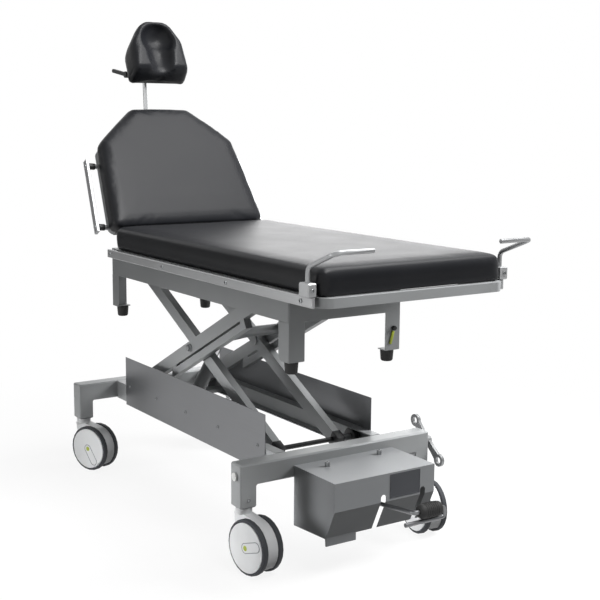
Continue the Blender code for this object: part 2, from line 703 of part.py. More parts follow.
def make_rollers(mats, lift, cross):
    """Rollers on the free ends of the arms, in the base rails and in the lift frame."""
    rows = (("upper_roller_", lift, ARM_LEN, TOP_ROLLER_D, TOP_ROLLER_W, LIFT_Y - LIFT_T - 0.003),
            ("lower_roller_", cross, ARM_LEN / 2, BASE_ROLLER_D, BASE_ROLLER_W,
             RAIL_Y - RAIL_WALL - 0.006))
    for prefix, parent, along, size, width, outer in rows:
        for name, side in SIDES.items():
            axle = empty(prefix + name + "_axle", parent, (along, 0, 0))
            bore, r = PIN_D / 2 + RUN, size / 2
            profile = [(bore, outer - width), (r - 0.002, outer - width), (r, outer - width + 0.002),
                       (r, outer - 0.002), (r - 0.002, outer), (bore, outer)]
            solid(prefix + name, turned("Y", (0, 0, 0), [(a, side * b) for a, b in profile], 22),
                  mats["black"], axle)


def make_cylinder(mats, root):
    """Barrel on the base and rod in it, drawn along local X from the barrel's pivot."""
    angle = math.radians(LIFT_ANGLE)
    arm_x = RAM_ARM_S * math.cos(angle) - RAM_ARM_UP * math.sin(angle)
    arm_z = RAM_ARM_S * math.sin(angle) + RAM_ARM_UP * math.cos(angle)
    dx, dz = PIVOT_X + arm_x - RAM_X, PIVOT_Z + arm_z - RAM_Z
    length = math.hypot(dx, dz)
    ram = empty("cylinder_pivot", root, (RAM_X, 0, RAM_Z), math.degrees(math.atan2(dz, dx)))
    eye = RAM_EYE_D / 2
    r = BARREL_D / 2
    bore = BARREL_BORE / 2
    profile = [(0, eye * 0.6), (r * 0.8, eye * 0.6), (r, eye + 0.006), (r, BARREL_L - 0.012),
               (r - 0.003, BARREL_L), (bore, BARREL_L), (bore, eye + 0.030), (0, eye + 0.030)]
    barrel = solid("lift_cylinder", turned("X", (0, 0, 0), profile, 20), mats["cover"], ram)
    width = RAM_EYE_W / 2
    add(barrel, rod("Y", (0, 0, 0), LUG_R, -width, width, 16))
    side = r + 0.01
    cut(barrel, box(-side, RAM_NECK, width, side, -side, side), box(-side, RAM_NECK, -side, -width, -side, side))
    cut(barrel, rod("Y", (0, 0, 0), RAM_PIN_D / 2 + RUN, -side, side, 14))
    bar = solid("lift_piston_rod", rod("X", (0, 0, 0), RAM_ROD_D / 2, length * 0.40, length - eye * 0.7, 16),
                mats["chrome"], ram)
    add(bar, rod("Y", (length, 0, 0), eye, -width, width, 16))
    cut(bar, rod("Y", (length, 0, 0), RAM_PIN_D / 2 + RAM_EYE_PLAY, -side, side, 16))


# Lift frame
def make_lift_frame(mats, top):
    """Folded side channels with roller guides, and end frames with landing legs."""
    x0, x1 = LIFT_X0 + LIFT_T + GAP, LIFT_X1 - LIFT_T - GAP
    guide = TOP_ROLLER_D / 2 + RUN
    for name, side in SIDES.items():
        web, tip, t = LIFT_Y, LIFT_Y - LIFT_DEPTH, LIFT_T
        profile = [(web, LIFT_Z0), (web, LIFT_Z1), (tip, LIFT_Z1), (tip, LIFT_Z1 - t),
                   (web - t, LIFT_Z1 - t), (web - t, guide + t), (tip, guide + t), (tip, guide),
                   (web - t, guide), (web - t, -guide), (tip, -guide), (tip, -guide - t),
                   (web - t, -guide - t), (web - t, LIFT_Z0 + t), (tip, LIFT_Z0 + t), (tip, LIFT_Z0)]
        rail = solid("lift_rail_" + name, prism("X", [(side * y, z) for y, z in profile], x0, x1),
                     mats["paint"], top)
        block = sorted((side * (tip + 0.001), side * (web - 0.001)))
        add(rail, box(PIVOT_X - 0.024, PIVOT_X + 0.024, *block, -guide - 0.001, guide + 0.001))
        cut(rail, rod("Y", (PIVOT_X, 0, 0), PIN_D / 2 + RUN, *sorted((side * (tip - 0.01), side * (web - t)))))
    for name, sign in ENDS.items():
        end = LIFT_ENDS[name]
        leg = LIFT_Y - LIFT_LEG_W
        wide, low = LIFT_Y - LIFT_T / 3, LIFT_LEG_Z + LIFT_T / 3
        sheet = [(-wide, low), (-leg, low), (-leg, LIFT_Z0), (leg, LIFT_Z0),
                 (leg, low), (wide, low), (wide, LIFT_Z1), (-wide, LIFT_Z1)]
        frame = solid("lift_end_" + name, prism("X", sheet, *sorted((end - sign * LIFT_T, end))),
                      mats["paint"], top)
        inner = end - sign * LIFT_LEG_W
        bevel = sign * LIFT_CHAMFER
        for side in SIDES.values():
            fold = end - sign * LIFT_T / 3
            wing = [(fold, low), (inner + bevel, low), (inner, low + LIFT_CHAMFER),
                    (inner, LIFT_Z0 - GAP), (fold, LIFT_Z0 - GAP)]
            add(frame, prism("Y", wing, *sorted((side * (LIFT_Y - LIFT_T), side * LIFT_Y))))
            sole = sorted((inner + bevel + sign * 0.002, end - sign * LIFT_T / 2))
            sole += sorted((side * (leg + 0.002), side * (LIFT_Y - LIFT_T / 2)))
            add(frame, box(*sole, LIFT_LEG_Z, LIFT_LEG_Z + LIFT_T))
            foot_x, foot_y = end - sign * LIFT_LEG_W / 2, side * (LIFT_Y - LIFT_LEG_W / 2)
            under = LIFT_LEG_Z - GAP - FOOT_H
            side_name = "left" if side < 0 else "right"
            solid(f"rubber_foot_{name}_{side_name}",
                  turned("Z", (foot_x, foot_y, 0), [(0, under), (FOOT_D / 2 - 0.005, under),
                                                    (FOOT_D / 2 - 0.002, under + 0.004),
                                                    (FOOT_D / 2, LIFT_LEG_Z - GAP - 0.004),
                                                    (FOOT_D / 2, LIFT_LEG_Z - GAP),
                                                    (0, LIFT_LEG_Z - GAP)], 16), mats["rubber"], top)


# Seat
def make_seat(mats, top):
    """Tube frame on the lift rails, its cushion, and a side rail along each edge."""
    z0 = LIFT_Z1 + GAP
    z1 = z0 + FRAME_H
    corners = [(FRAME_X0, -FRAME_Y), (FRAME_X1, -FRAME_Y), (FRAME_X1, FRAME_Y), (FRAME_X0, FRAME_Y)]
    outer = rounded(corners, FRAME_R)
    frame = solid("seat_frame", prism("Z", outer, z0, z1), mats["paint"], top)
    cut(frame, prism("Z", shrunk(outer, FRAME_W), z0 - 0.01, z1 + 0.01))
    for x in FRAME_BARS:
        side = FRAME_Y - FRAME_W / 2
        add(frame, box(x - FRAME_W / 2, x + FRAME_W / 2, -side, side, z0, z1 - 0.002))
    make_hinge_lugs(frame, z0, z1)

    corners = [(SEAT_X0, -SEAT_Y), (SEAT_X1, -SEAT_Y), (SEAT_X1, SEAT_Y), (SEAT_X0, SEAT_Y)]
    pad = cushion(corners, SEAT_R, cushion_layers(SEAT_T))
    bmesh.ops.translate(pad, vec=(0, 0, z1 + GAP), verts=pad.verts[:])
    solid("seat_cushion", pad, mats["vinyl"], top)

    middle = z0 + FRAME_H / 2
    for name, side in SIDES.items():
        inner = SIDE_RAIL_Y - SIDE_RAIL_T
        bar = box(SIDE_RAIL_X0, SIDE_RAIL_X1, *sorted((side * inner, side * SIDE_RAIL_Y)),
                  middle - SIDE_RAIL_H / 2, middle + SIDE_RAIL_H / 2, 0.0012)
        rail = solid("side_rail_" + name, bar, mats["steel"], top)
        seat = sorted((side * (FRAME_Y + GAP), side * (inner + 0.001)))
        for x in SPACER_X:
            add(rail, rod("Y", (x, 0, middle), SPACER_D / 2, *seat, 16))


def make_hinge_lugs(frame, z0, z1):
    """Two lugs at the head end with the backrest's hinge pins."""
    lug = arc((HINGE_X, HINGE_UP), HINGE_EAR_R, 0, 180, 10)
    lug += [(HINGE_X - HINGE_EAR_R, HINGE_UP - 0.012), (FRAME_X0 + 0.004, z0),
            (FRAME_X0 + FRAME_W * 0.6, z0), (FRAME_X0 + FRAME_W * 0.3, z1 + 0.002)]
    for side in SIDES.values():
        y0 = HINGE_EAR_Y + HINGE_EAR_T + GAP
        add(frame, prism("Y", lug, *sorted((side * y0, side * (y0 + HINGE_EAR_T)))))
        pin = sorted((side * (HINGE_EAR_Y - 0.002), side * (y0 + 0.001)))
        add(frame, rod("Y", (HINGE_X, 0, HINGE_UP), HINGE_PIN_D / 2, *pin, 14))


def make_handles(mats, top):
    """Clamp block at the foot end of each rail and the bent push bar that turns in it."""
    rail_top = LIFT_Z1 + GAP + FRAME_H / 2 + SIDE_RAIL_H / 2
    low = rail_top + GAP
    high = low + CLAMP_Z
    for name, side in SIDES.items():
        inner = SEAT_Y + 0.0015
        y = side * (inner + CLAMP_Y / 2)
        block = solid("handle_clamp_" + name, box(HANDLE_X - CLAMP_X / 2, HANDLE_X + CLAMP_X / 2,
                                                  *sorted((side * inner, side * (inner + CLAMP_Y))),
                                                  low, high, 0.003), mats["steel"], top)
        cut(block, rod("Z", (HANDLE_X, y, 0), HANDLE_D / 2 + RUN, high - HANDLE_SEAT - GAP, high + 0.01))
        pivot = empty("handle_pivot_" + name, top, (HANDLE_X, y, high - HANDLE_SEAT))
        rise = HANDLE_RISE - CLAMP_Z + HANDLE_SEAT
        path = bent([(0, 0, 0), (0, 0, rise), (HANDLE_LEAN, 0, rise + HANDLE_LEAN_Z),
                     (HANDLE_LEAN, -side * HANDLE_REACH, rise + HANDLE_LEAN_Z)], HANDLE_BEND)
        swept("push_handle_" + name, path, HANDLE_D / 2, mats["chrome"], pivot)


# Backrest
def back_half(u):
    """Half the cushion's width at a height on the slope, below the shoulders."""
    return (BACK_W0 + (BACK_W1 - BACK_W0) * (u - BACK_U0) / BACK_SHOULDER) / 2


def back_corners(inset=0.0):
    """The backrest's corners in (u, y), tapered to the shoulders and cut off above them."""
    top, shoulder = BACK_U0 + BACK_LEN, BACK_U0 + BACK_SHOULDER
    corners = [(BACK_U0, BACK_W0 / 2), (BACK_U0, -BACK_W0 / 2), (shoulder, -BACK_W1 / 2),
               (top, -BACK_W2 / 2), (top, BACK_W2 / 2), (shoulder, BACK_W1 / 2)]
    return shrunk(corners, inset)


def make_backrest(mats, back):
    """Cushion, bent tube frame with hinge ears and headrest socket, and side rails."""
    rear = BACK_FACE - BACK_T
    pad = cushion(back_corners(), BACK_R, cushion_layers(BACK_T))
    bmesh.ops.translate(pad, vec=(0, 0, rear), verts=pad.verts[:])
    solid("back_cushion", pad, mats["vinyl"], back)

    w1, w0 = rear - GAP, rear - GAP - BACK_FRAME_T
    frame = solid("back_frame", prism("Z", rounded(back_corners(BACK_FRAME_IN), BACK_R), w0, w1), mats["paint"], back)
    hollow = rounded(back_corners(BACK_FRAME_IN + BACK_FRAME_W), BACK_R / 3)
    cut(frame, prism("Z", hollow, w0 - 0.01, w1 + 0.01))
    low = BACK_U0 + BACK_FRAME_IN
    ear = arc((0, 0), HINGE_EAR_R, 50, 300, 12)
    ear += [(low + 0.010, w0 + 0.001), (low + 0.010, w1 - 0.001), (BACK_U0 - 0.003, w1 - 0.001)]
    for side in SIDES.values():
        add(frame, prism("Y", ear, *sorted((side * HINGE_EAR_Y, side * (HINGE_EAR_Y + HINGE_EAR_T)))))
        add(frame, box(low, low + BACK_FRAME_W, *sorted((side * (HINGE_EAR_Y - 0.004), side * (HINGE_EAR_Y + 0.018))),
                       w0, w1))
        cut(frame, rod("Y", (0, 0, 0), HINGE_PIN_D / 2 + RUN,
                       *sorted((side * (HINGE_EAR_Y - 0.02), side * (HINGE_EAR_Y + HINGE_EAR_T + 0.02))), 14))
    make_headrest_socket(frame, w0)
    make_back_rails(mats, back, w0)


def post_place(along):
    """A point on the headrest post's axis, in (u, w)."""
    tilt = math.radians(POST_TILT)
    return POST_U + along * math.cos(tilt), POST_W + along * math.sin(tilt)


def along_post(bm, along=0.0):
    """Moves a mesh drawn along local X onto the post's axis."""
    u, w = post_place(along)
    turn = Matrix.Rotation(-math.radians(POST_TILT), 4, "Y")
    bmesh.ops.transform(bm, matrix=Matrix.Translation((u, 0, w)) @ turn, verts=bm.verts[:])
    return bm


def make_headrest_socket(frame, w0):
    """Slanted tube for the headrest post behind the top bar, with its web."""
    u, w = post_place(SOCKET_AT)
    bar = BACK_U0 + BACK_LEN - BACK_FRAME_IN
    web = [(bar - BACK_FRAME_W + 0.002, w0 + 0.002), (bar - 0.002, w0 + 0.002),
           (u + 0.026, w + 0.004), (u - 0.020, w - 0.004)]
    add(frame, prism("Y", web, -0.010, 0.010))
    half = SOCKET_L / 2
    add(frame, along_post(rod("X", (0, 0, 0), SOCKET_D / 2, -half, half, 16), SOCKET_AT))
    cut(frame, along_post(rod("X", (0, 0, 0), POST_D / 2 + RUN, -half - 0.02, half + 0.02, 16), SOCKET_AT))


def make_back_rails(mats, back, w0):
    """Flat bars parallel to the tapered sides, each on two spacers."""
    taper = math.atan2(BACK_W0 - BACK_W1, 2 * BACK_SHOULDER)
    reach = BACK_RAIL_OUT - SIDE_RAIL_T
    for name, side in SIDES.items():
        def at(u, out):
            return u + out * math.sin(taper), -side * (back_half(u) + out * math.cos(taper))
        inner0, inner1 = at(BACK_RAIL_U0, reach), at(BACK_RAIL_U1, reach)
        outer0, outer1 = at(BACK_RAIL_U0, BACK_RAIL_OUT), at(BACK_RAIL_U1, BACK_RAIL_OUT)
        bar = prism("Z", [inner0, inner1, outer1, outer0], w0, w0 + SIDE_RAIL_H, 0.0012)
        rail = solid("back_rail_" + name, bar, mats["steel"], back)
        for u in (BACK_RAIL_U0 + 0.020, BACK_RAIL_U1 - 0.020):
            seat = Vector((*at(u, -BACK_FRAME_IN + GAP), w0 + SIDE_RAIL_H / 2))
            end = Vector((*at(u, reach + 0.001), w0 + SIDE_RAIL_H / 2))
            bm = rod("Z", (0, 0, 0), SPACER_D / 2, 0, (end - seat).length, 16)
            turn = (end - seat).to_track_quat("Z", "Y").to_matrix().to_4x4()
            bmesh.ops.transform(bm, matrix=Matrix.Translation(seat) @ turn, verts=bm.verts[:])
            add(rail, bm)


# Headrest
def make_headrest(mats, back):
    """Post with its clamp hub, tilting bracket and moulded cushion, and the clamp lever."""
    u, w = post_place(0)
    slide = empty("headrest_slide", back, (u, 0, w), POST_TILT)
    post = solid("headrest_post", rod("X", (0, 0, 0), POST_D / 2, -POST_DOWN, POST_UP, 16),
                 mats["chrome"], slide)
    add(post, rod("Y", (POST_UP, 0, 0), HUB_D / 2, -HUB_W / 2, HUB_W / 2, 16))
    bolt = HUB_W / 2 + 0.022
    add(post, rod("Y", (POST_UP, 0, 0), TILT_BOLT_D / 2, -HUB_W / 2 - 0.010, bolt, 16))
    tilt = empty("headrest_tilt", slide, (POST_UP, 0, 0))
    make_headrest_bracket(mats, tilt)
    make_headrest_cushion(mats, tilt)
    make_headrest_lever(mats, tilt)


def head_line(low, high):
    """Length and direction of an edge of the cushion, and the way across it."""
    edge = Vector(high) - Vector(low)
    along = edge.normalized()
    return edge.length, along, Vector((-along.y, along.x))


def make_headrest_bracket(mats, tilt):
    """Plate behind the cushion with two ears on the hub's bolt."""
    length, along, across = head_line(HEAD_HEEL, HEAD_NAPE)
    low = Vector(HEAD_HEEL) + along * length * 0.15 - across * GAP
    high = Vector(HEAD_HEEL) + along * length * 0.80 - across * GAP
    sheet = [low, high, high - across * BRACKET_T, low - across * BRACKET_T]
    half = HUB_W / 2 + GAP + EAR_T + 0.008
    plate = solid("headrest_bracket", prism("Y", sheet, -half, half), mats["black"], tilt)
    root = across * BRACKET_T / 2
    ear = [(EAR_R, 0)] + arc((0, 0), EAR_R, -15, -165, 8) + [(-EAR_R, 0)]
    ear += [low + along * 0.006 - root, high - along * 0.006 - root]
    bore = TILT_BOLT_D / 2 + RUN
    for side in SIDES.values():
        inner = HUB_W / 2 + GAP
        add(plate, prism("Y", ear, *sorted((side * inner, side * (inner + EAR_T)))))
        cut(plate, rod("Y", (0, 0, 0), bore, *sorted((side * (inner - 0.01), side * (inner + 0.02))), 16))


def head_outline(low, high, half, inset):
    """Straight foot, tapered sides and an arch, drawn on the plane through two edges."""
    length, along, across = head_line(low, high)
    spring, crown = length * HEAD_SPRING, HEAD_TOP_W / 2
    corners = [(0, half), (0, -half), (spring, -half * 0.93), (length, -crown), (length, crown), (spring, half * 0.93)]
    edge = max(HEAD_EDGE_R - inset, HEAD_EDGE_R / 3)
    arch = HEAD_ARCH_R - inset
    outline = rounded(shrunk(corners, inset), [edge, edge, arch, arch, arch, arch], 4)
    return [(low[0] + along.x * x, y, low[1] + along.y * x) for x, y in outline]


def make_headrest_cushion(mats, tilt):
    """Moulded block, deeper than its foot is high, with a bowl for the head and a neck channel."""
    body = bmesh.new()
    rings = []
    for part, inset in ((0.0, 0.010), (0.06, 0.003), (0.30, 0.0), (0.72, 0.0), (0.92, 0.004), (1.0, 0.012)):
        rear = head_outline(HEAD_HEEL, HEAD_NAPE, HEAD_HEEL_W / 2, inset)
        front = head_outline(HEAD_CHIN, HEAD_CROWN, HEAD_CHIN_W / 2, inset)
        rings.append([body.verts.new(Vector(a).lerp(Vector(b), part)) for a, b in zip(rear, front)])
    for low, high in zip(rings, rings[1:]):
        for i in range(len(low)):
            j = (i + 1) % len(low)
            body.faces.new((low[i], low[j], high[j], high[i]))
    body.faces.new(rings[0][::-1])
    body.faces.new(rings[-1])
    pad = solid("headrest_cushion", body, mats["vinyl"], tilt)
    length, along, across = head_line(HEAD_CHIN, HEAD_CROWN)
    place = Matrix.Translation((HEAD_CHIN[0], 0, HEAD_CHIN[1])) @ Matrix.Rotation(-math.atan2(along.y, along.x), 4, "Y")
    bowl = bmesh.new()
    bmesh.ops.create_uvsphere(bowl, u_segments=20, v_segments=12, radius=1.0)
    shape = Matrix.Translation((length * BOWL_AT, 0, BOWL_PROUD)) @ Matrix.Diagonal((*BOWL_R, 1))
    bmesh.ops.transform(bowl, matrix=place @ shape, verts=bowl.verts[:])
    cut(pad, bowl)
    channel = rod("X", (0, 0, CHANNEL_PROUD), CHANNEL_R, -0.06, length * BOWL_AT, 20)
    bmesh.ops.transform(channel, matrix=place, verts=channel.verts[:])
    cut(pad, channel)


def make_headrest_lever(mats, tilt):
    """Clamp lever on the near end of the hub's bolt."""
    turn = empty("headrest_lever_pivot", tilt, (0, 0, 0), LEVER_TURN)
    inner = HUB_W / 2 + GAP + EAR_T + GAP
    lever = solid("headrest_lever", rod("Y", (0, 0, 0), 0.011, inner, inner + 0.018, 14), mats["black"], turn)
    arm = prism("Y", arm_outline(0.0, LEVER_L, 0.013), inner + 0.005, inner + 0.015)
    add(lever, arm)
    cut(lever, rod("Y", (0, 0, 0), TILT_BOLT_D / 2 + RUN, 0, inner + 0.0165, 16))


# Brake and foot pump
def make_brake(mats, root):
    """Hexagon shaft through the foot beam with the double-eyed lever on its far end."""
    pivot = empty("brake_pivot", root, (FOOT_BEAM_X, 0, BRAKE_Z), -BRAKE_TILT)
    half = BEAM_LEN / 2
    radius = BRAKE_AF / 2 / math.cos(math.pi / 6)
    y0 = half + BRAKE_STAND
    reach = BRAKE_EYES / 2
    waist = BRAKE_BAR / 2
    outline = []
    for sign in (1, -1):
        away = 0 if sign > 0 else 180
        outline += arc((sign * reach, 0), BRAKE_EYE_R, away - 140, away + 140, 12)
        outline += [(sign * 0.030, sign * waist), (-sign * 0.030, sign * waist)]
    lever = solid("brake_pedal", prism("Y", outline, y0, y0 + BRAKE_T), mats["chrome"], pivot)
    for sign in (1, -1):
        cut(lever, rod("Y", (sign * reach, 0, 0), BRAKE_HOLE_R, y0 - 0.01, y0 + 0.02, 14))
    add(lever, rod("Y", (0, 0, 0), BRAKE_BAR / 2 + 0.003, half + GAP, y0 + BRAKE_T + 0.003, 16))
    add(lever, rod("Y", (0, 0, 0), radius, -half - 0.001, y0 + 0.002, 6))
    add(lever, rod("Y", (0, 0, 0), 0.010, -half - GAP - 0.004, -half - GAP, 16))


def make_pump(mats, root):
    """Folded cover over the pump, open behind and below, with two pedal slots."""
    x0 = PUMP_X0
    t = PUMP_T
    outer = [(x0, PUMP_HEEL_Z), (PUMP_TOE_X, PUMP_TOE_Z), (PUMP_X1, PUMP_FOLD_Z), (PUMP_X1, PUMP_Z1), (x0, PUMP_Z1)]
    cover = solid("pump_cover", prism("Y", outer, PUMP_Y0, PUMP_Y1), mats["cover"], root)
    slope = math.hypot(PUMP_X1 - PUMP_TOE_X, PUMP_FOLD_Z - PUMP_TOE_Z) / (PUMP_FOLD_Z - PUMP_TOE_Z)
    lean = (PUMP_X1 - PUMP_TOE_X) / (PUMP_FOLD_Z - PUMP_TOE_Z)
    drop = PUMP_TOE_Z - PUMP_HEEL_Z + 0.03
    inner = [(x0 - 0.01, PUMP_TOE_Z - drop), (PUMP_TOE_X - t * slope - drop * lean, PUMP_TOE_Z - drop),
             (PUMP_X1 - t * slope, PUMP_FOLD_Z), (PUMP_X1 - t, PUMP_FOLD_Z + 0.002),
             (PUMP_X1 - t, PUMP_Z1 - t), (x0 - 0.01, PUMP_Z1 - t)]
    cut(cover, prism("Y", inner, PUMP_Y0 + t, PUMP_Y1 - t))
    lip = [(PUMP_TOE_X - 2 * t, PUMP_TOE_Z + t), (PUMP_TOE_X - t, PUMP_TOE_Z - PUMP_LIP),
           (PUMP_TOE_X + t, PUMP_TOE_Z - PUMP_LIP), (PUMP_TOE_X + t * 0.6, PUMP_TOE_Z + t * 2)]
    add(cover, prism("Y", lip, PUMP_Y0 + t * 0.4, PUMP_Y0 + PUMP_LIP_L))
    cut(cover, rod("Z", (FOOT_BEAM_X, LEG_Y, 0), SWING_R, 0, WHEEL_D + SWING_CLEAR, 32))
    for y in SLOT_Y:
        cut(cover, box(PUMP_TOE_X - 0.03, PUMP_X1 + 0.01, y - SLOT_W / 2, y + SLOT_W / 2, 0.05, SLOT_TOP - SLOT_W / 2))
        cut(cover, rod("X", (0, y, SLOT_TOP - SLOT_W / 2), SLOT_W / 2, PUMP_X1 - 0.02, PUMP_X1 + 0.01, 14))

    y = SLOT_Y[0]
    unit = solid("pump_unit", box(x0, x0 + UNIT_DEPTH, y - UNIT_W / 2, y + UNIT_W / 2, UNIT_Z0,
                                   PUMP_Z1 - UNIT_LOW, 0.003), mats["black"], root)
    root_x = x0 + UNIT_DEPTH * 0.75
    ear = arc((PEDAL_X, PEDAL_Z), PEDAL_LUG_R, -90, 90, 8)
    ear += [(root_x, PEDAL_Z + PEDAL_LUG_R * 1.4), (root_x, PEDAL_Z - PEDAL_LUG_R * 1.4)]
    inner = PEDAL_HUB_W / 2 + GAP
    for side in SIDES.values():
        add(unit, prism("Y", ear, *sorted((y + side * inner, y + side * (inner + PEDAL_LUG_T)))))
    add(unit, rod("Y", (PEDAL_X, 0, PEDAL_Z), PEDAL_PIN_D / 2, y - inner - PEDAL_LUG_T / 2,
                  y + inner + PEDAL_LUG_T / 2, 14))


def make_pedal(mats, root):
    """Pedal bar from its hub through the slot, bent sideways through the rubber pad and back below it."""
    pivot = empty("pump_pedal_pivot", root, (PEDAL_X, SLOT_Y[0], PEDAL_Z))
    reach = PEDAL_END_X - PEDAL_X
    y1 = PAD_Y1 - SLOT_Y[0] + PEDAL_BEND + 4 * GAP
    low = PEDAL_RISE - PEDAL_TAIL
    path = bent([(PEDAL_HUB_D / 2 - 0.004, 0, 0), (reach, 0, PEDAL_RISE), (reach, y1, PEDAL_RISE),
                 (reach, y1, low), (reach, PEDAL_TAIL_Y - SLOT_Y[0], low)], PEDAL_BEND)
    bar = swept("pump_pedal", path, PEDAL_D / 2, mats["chrome"], pivot)
    add(bar, rod("Y", (0, 0, 0), PEDAL_HUB_D / 2, -PEDAL_HUB_W / 2, PEDAL_HUB_W / 2, 16))
    cut(bar, rod("Y", (0, 0, 0), PEDAL_PIN_D / 2 + RUN, -0.05, 0.05, 14))
    make_pad(mats, pivot, reach)


def make_pad(mats, pivot, reach):
    """Rubber sleeve with round ends over the bar's sideways part."""
    r = PAD_D / 2
    a, b = PAD_Y0 - SLOT_Y[0] + PEDAL_BEND + PEDAL_D / 2, PAD_Y1 - SLOT_Y[0]
    bore = PEDAL_D / 2 + RUN
    soft = r - bore - 0.002
    turns = [math.pi / 2 * k / 4 for k in range(5)]
    nose = [(r - soft + soft * math.sin(t), b - soft + soft * math.cos(t)) for t in turns]
    heel = [(r - soft + soft * math.cos(t), a + soft - soft * math.sin(t)) for t in turns]
    bm = turned("Y", (reach, 0, PEDAL_RISE), [(bore, b)] + nose + heel + [(bore, a)], 16)
    solid("pedal_pad", bm, mats["rubber"], pivot)


def centre_on_floor(root):
    """Moves the whole table so that the floor origin lies under the middle of its box."""
    bpy.context.view_layer.update()
    graph = bpy.context.evaluated_depsgraph_get()
    xs, ys = [], []
    for obj in bpy.data.objects:
        if obj.type == "MESH":
            for vertex in obj.evaluated_get(graph).data.vertices:
                place = obj.matrix_world @ vertex.co
                xs.append(place.x)
                ys.append(place.y)
    root.location = (-(min(xs) + max(xs)) / 2, -(min(ys) + max(ys)) / 2, 0)
    bpy.context.view_layer.update()


def main():
    for obj in list(bpy.data.objects):
        bpy.data.objects.remove(obj)
    mats = make_materials()
    root = empty("treatment_table", None)
    make_beams(mats, root)
    make_base_rails(mats, root)
    make_side_plates(mats, root)
    make_crossbar(mats, root)
    make_casters(mats, root)
    make_brake(mats, root)
    make_pump(mats, root)
    make_pedal(mats, root)

    lift = empty("lift_pivot", root, (PIVOT_X, 0, PIVOT_Z), LIFT_ANGLE)
    cross = empty("cross_pivot", lift, (ARM_LEN / 2, 0, 0), -2 * LIFT_ANGLE)
    level = empty("top_pivot", cross, (-ARM_LEN / 2, 0, 0), LIFT_ANGLE)
    top = empty("table_top", level, (-PIVOT_X, 0, 0))
    make_outer_arms(mats, lift)
    make_outer_cross(mats, lift)
    make_inner_arms(mats, cross)
    make_rollers(mats, lift, cross)
    make_cylinder(mats, root)
    make_lift_frame(mats, top)
    make_seat(mats, top)
    make_handles(mats, top)

    back = empty("back_hinge", top, (HINGE_X, 0, HINGE_UP), BACK_LEAN, 180)
    make_backrest(mats, back)
    make_headrest(mats, back)
    centre_on_floor(root)


main()
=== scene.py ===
"""Looks of a mobile treatment table: finishes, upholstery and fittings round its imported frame."""

import json
import math

import bmesh
import bpy
from bpy.props import FloatProperty, FloatVectorProperty, PointerProperty
from mathutils import Matrix, Vector
from mathutils.bvhtree import BVHTree

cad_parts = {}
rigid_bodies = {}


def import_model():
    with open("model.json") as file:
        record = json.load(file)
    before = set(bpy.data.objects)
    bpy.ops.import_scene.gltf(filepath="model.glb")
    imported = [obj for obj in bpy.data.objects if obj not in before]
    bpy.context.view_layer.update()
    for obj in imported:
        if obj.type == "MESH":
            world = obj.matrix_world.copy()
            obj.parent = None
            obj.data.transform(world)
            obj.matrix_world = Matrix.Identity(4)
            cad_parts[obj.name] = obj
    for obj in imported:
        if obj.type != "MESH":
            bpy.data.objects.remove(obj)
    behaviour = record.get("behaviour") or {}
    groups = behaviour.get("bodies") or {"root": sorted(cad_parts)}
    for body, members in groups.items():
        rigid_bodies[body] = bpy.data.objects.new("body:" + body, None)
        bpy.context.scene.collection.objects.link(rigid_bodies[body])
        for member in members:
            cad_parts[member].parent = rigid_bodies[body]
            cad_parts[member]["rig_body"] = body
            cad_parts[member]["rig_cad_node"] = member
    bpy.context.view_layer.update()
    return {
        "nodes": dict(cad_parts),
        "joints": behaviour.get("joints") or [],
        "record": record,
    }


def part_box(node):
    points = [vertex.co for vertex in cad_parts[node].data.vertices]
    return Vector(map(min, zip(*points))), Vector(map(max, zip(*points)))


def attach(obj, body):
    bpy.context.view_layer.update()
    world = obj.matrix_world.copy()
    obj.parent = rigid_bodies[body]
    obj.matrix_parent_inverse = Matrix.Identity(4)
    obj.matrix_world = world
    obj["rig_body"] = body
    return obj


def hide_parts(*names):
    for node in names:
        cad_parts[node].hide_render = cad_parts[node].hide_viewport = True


bl_info = {
    "name": "Treatment table looks",
    "version": (1, 0, 0),
    "blender": (4, 5, 0),
    "location": "View3D > Sidebar > Table",
    "description": "Finishes, upholstery and fittings of a mobile treatment table",
    "category": "Object",
}

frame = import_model()
NODES = frame["nodes"]
BODY_OF = {n: b for b, ns in frame["record"]["behaviour"]["bodies"].items() for n in ns}
SLOT_OF = {s["node"]: s["material_slot"] for s in frame["record"]["subparts"]}
JOINTS = {j["name"]: j for j in frame["joints"]}
PLACES = ("foot_left", "foot_right", "head_left", "head_right")
SIDES = {"left": -1, "right": 1}
BACK_LEAN = math.radians(58.5)    # how far the backrest is raised from flat at rest


# Colours and sizes
def linear(text):
    """sRGB hex colour as linear red, green and blue."""
    parts = [int(text[i:i + 2], 16) / 255 for i in (1, 3, 5)]
    return [c / 12.92 if c <= 0.04045 else ((c + 0.055) / 1.055) ** 2.4 for c in parts]


def colour(name, words, text):
    return FloatVectorProperty(name=name, description=words, subtype="COLOR", size=3, min=0, max=1,
                               default=linear(text))


def length(name, words, value):
    return FloatProperty(name=name, description=words, default=value, min=0, unit="LENGTH",
                         precision=4)


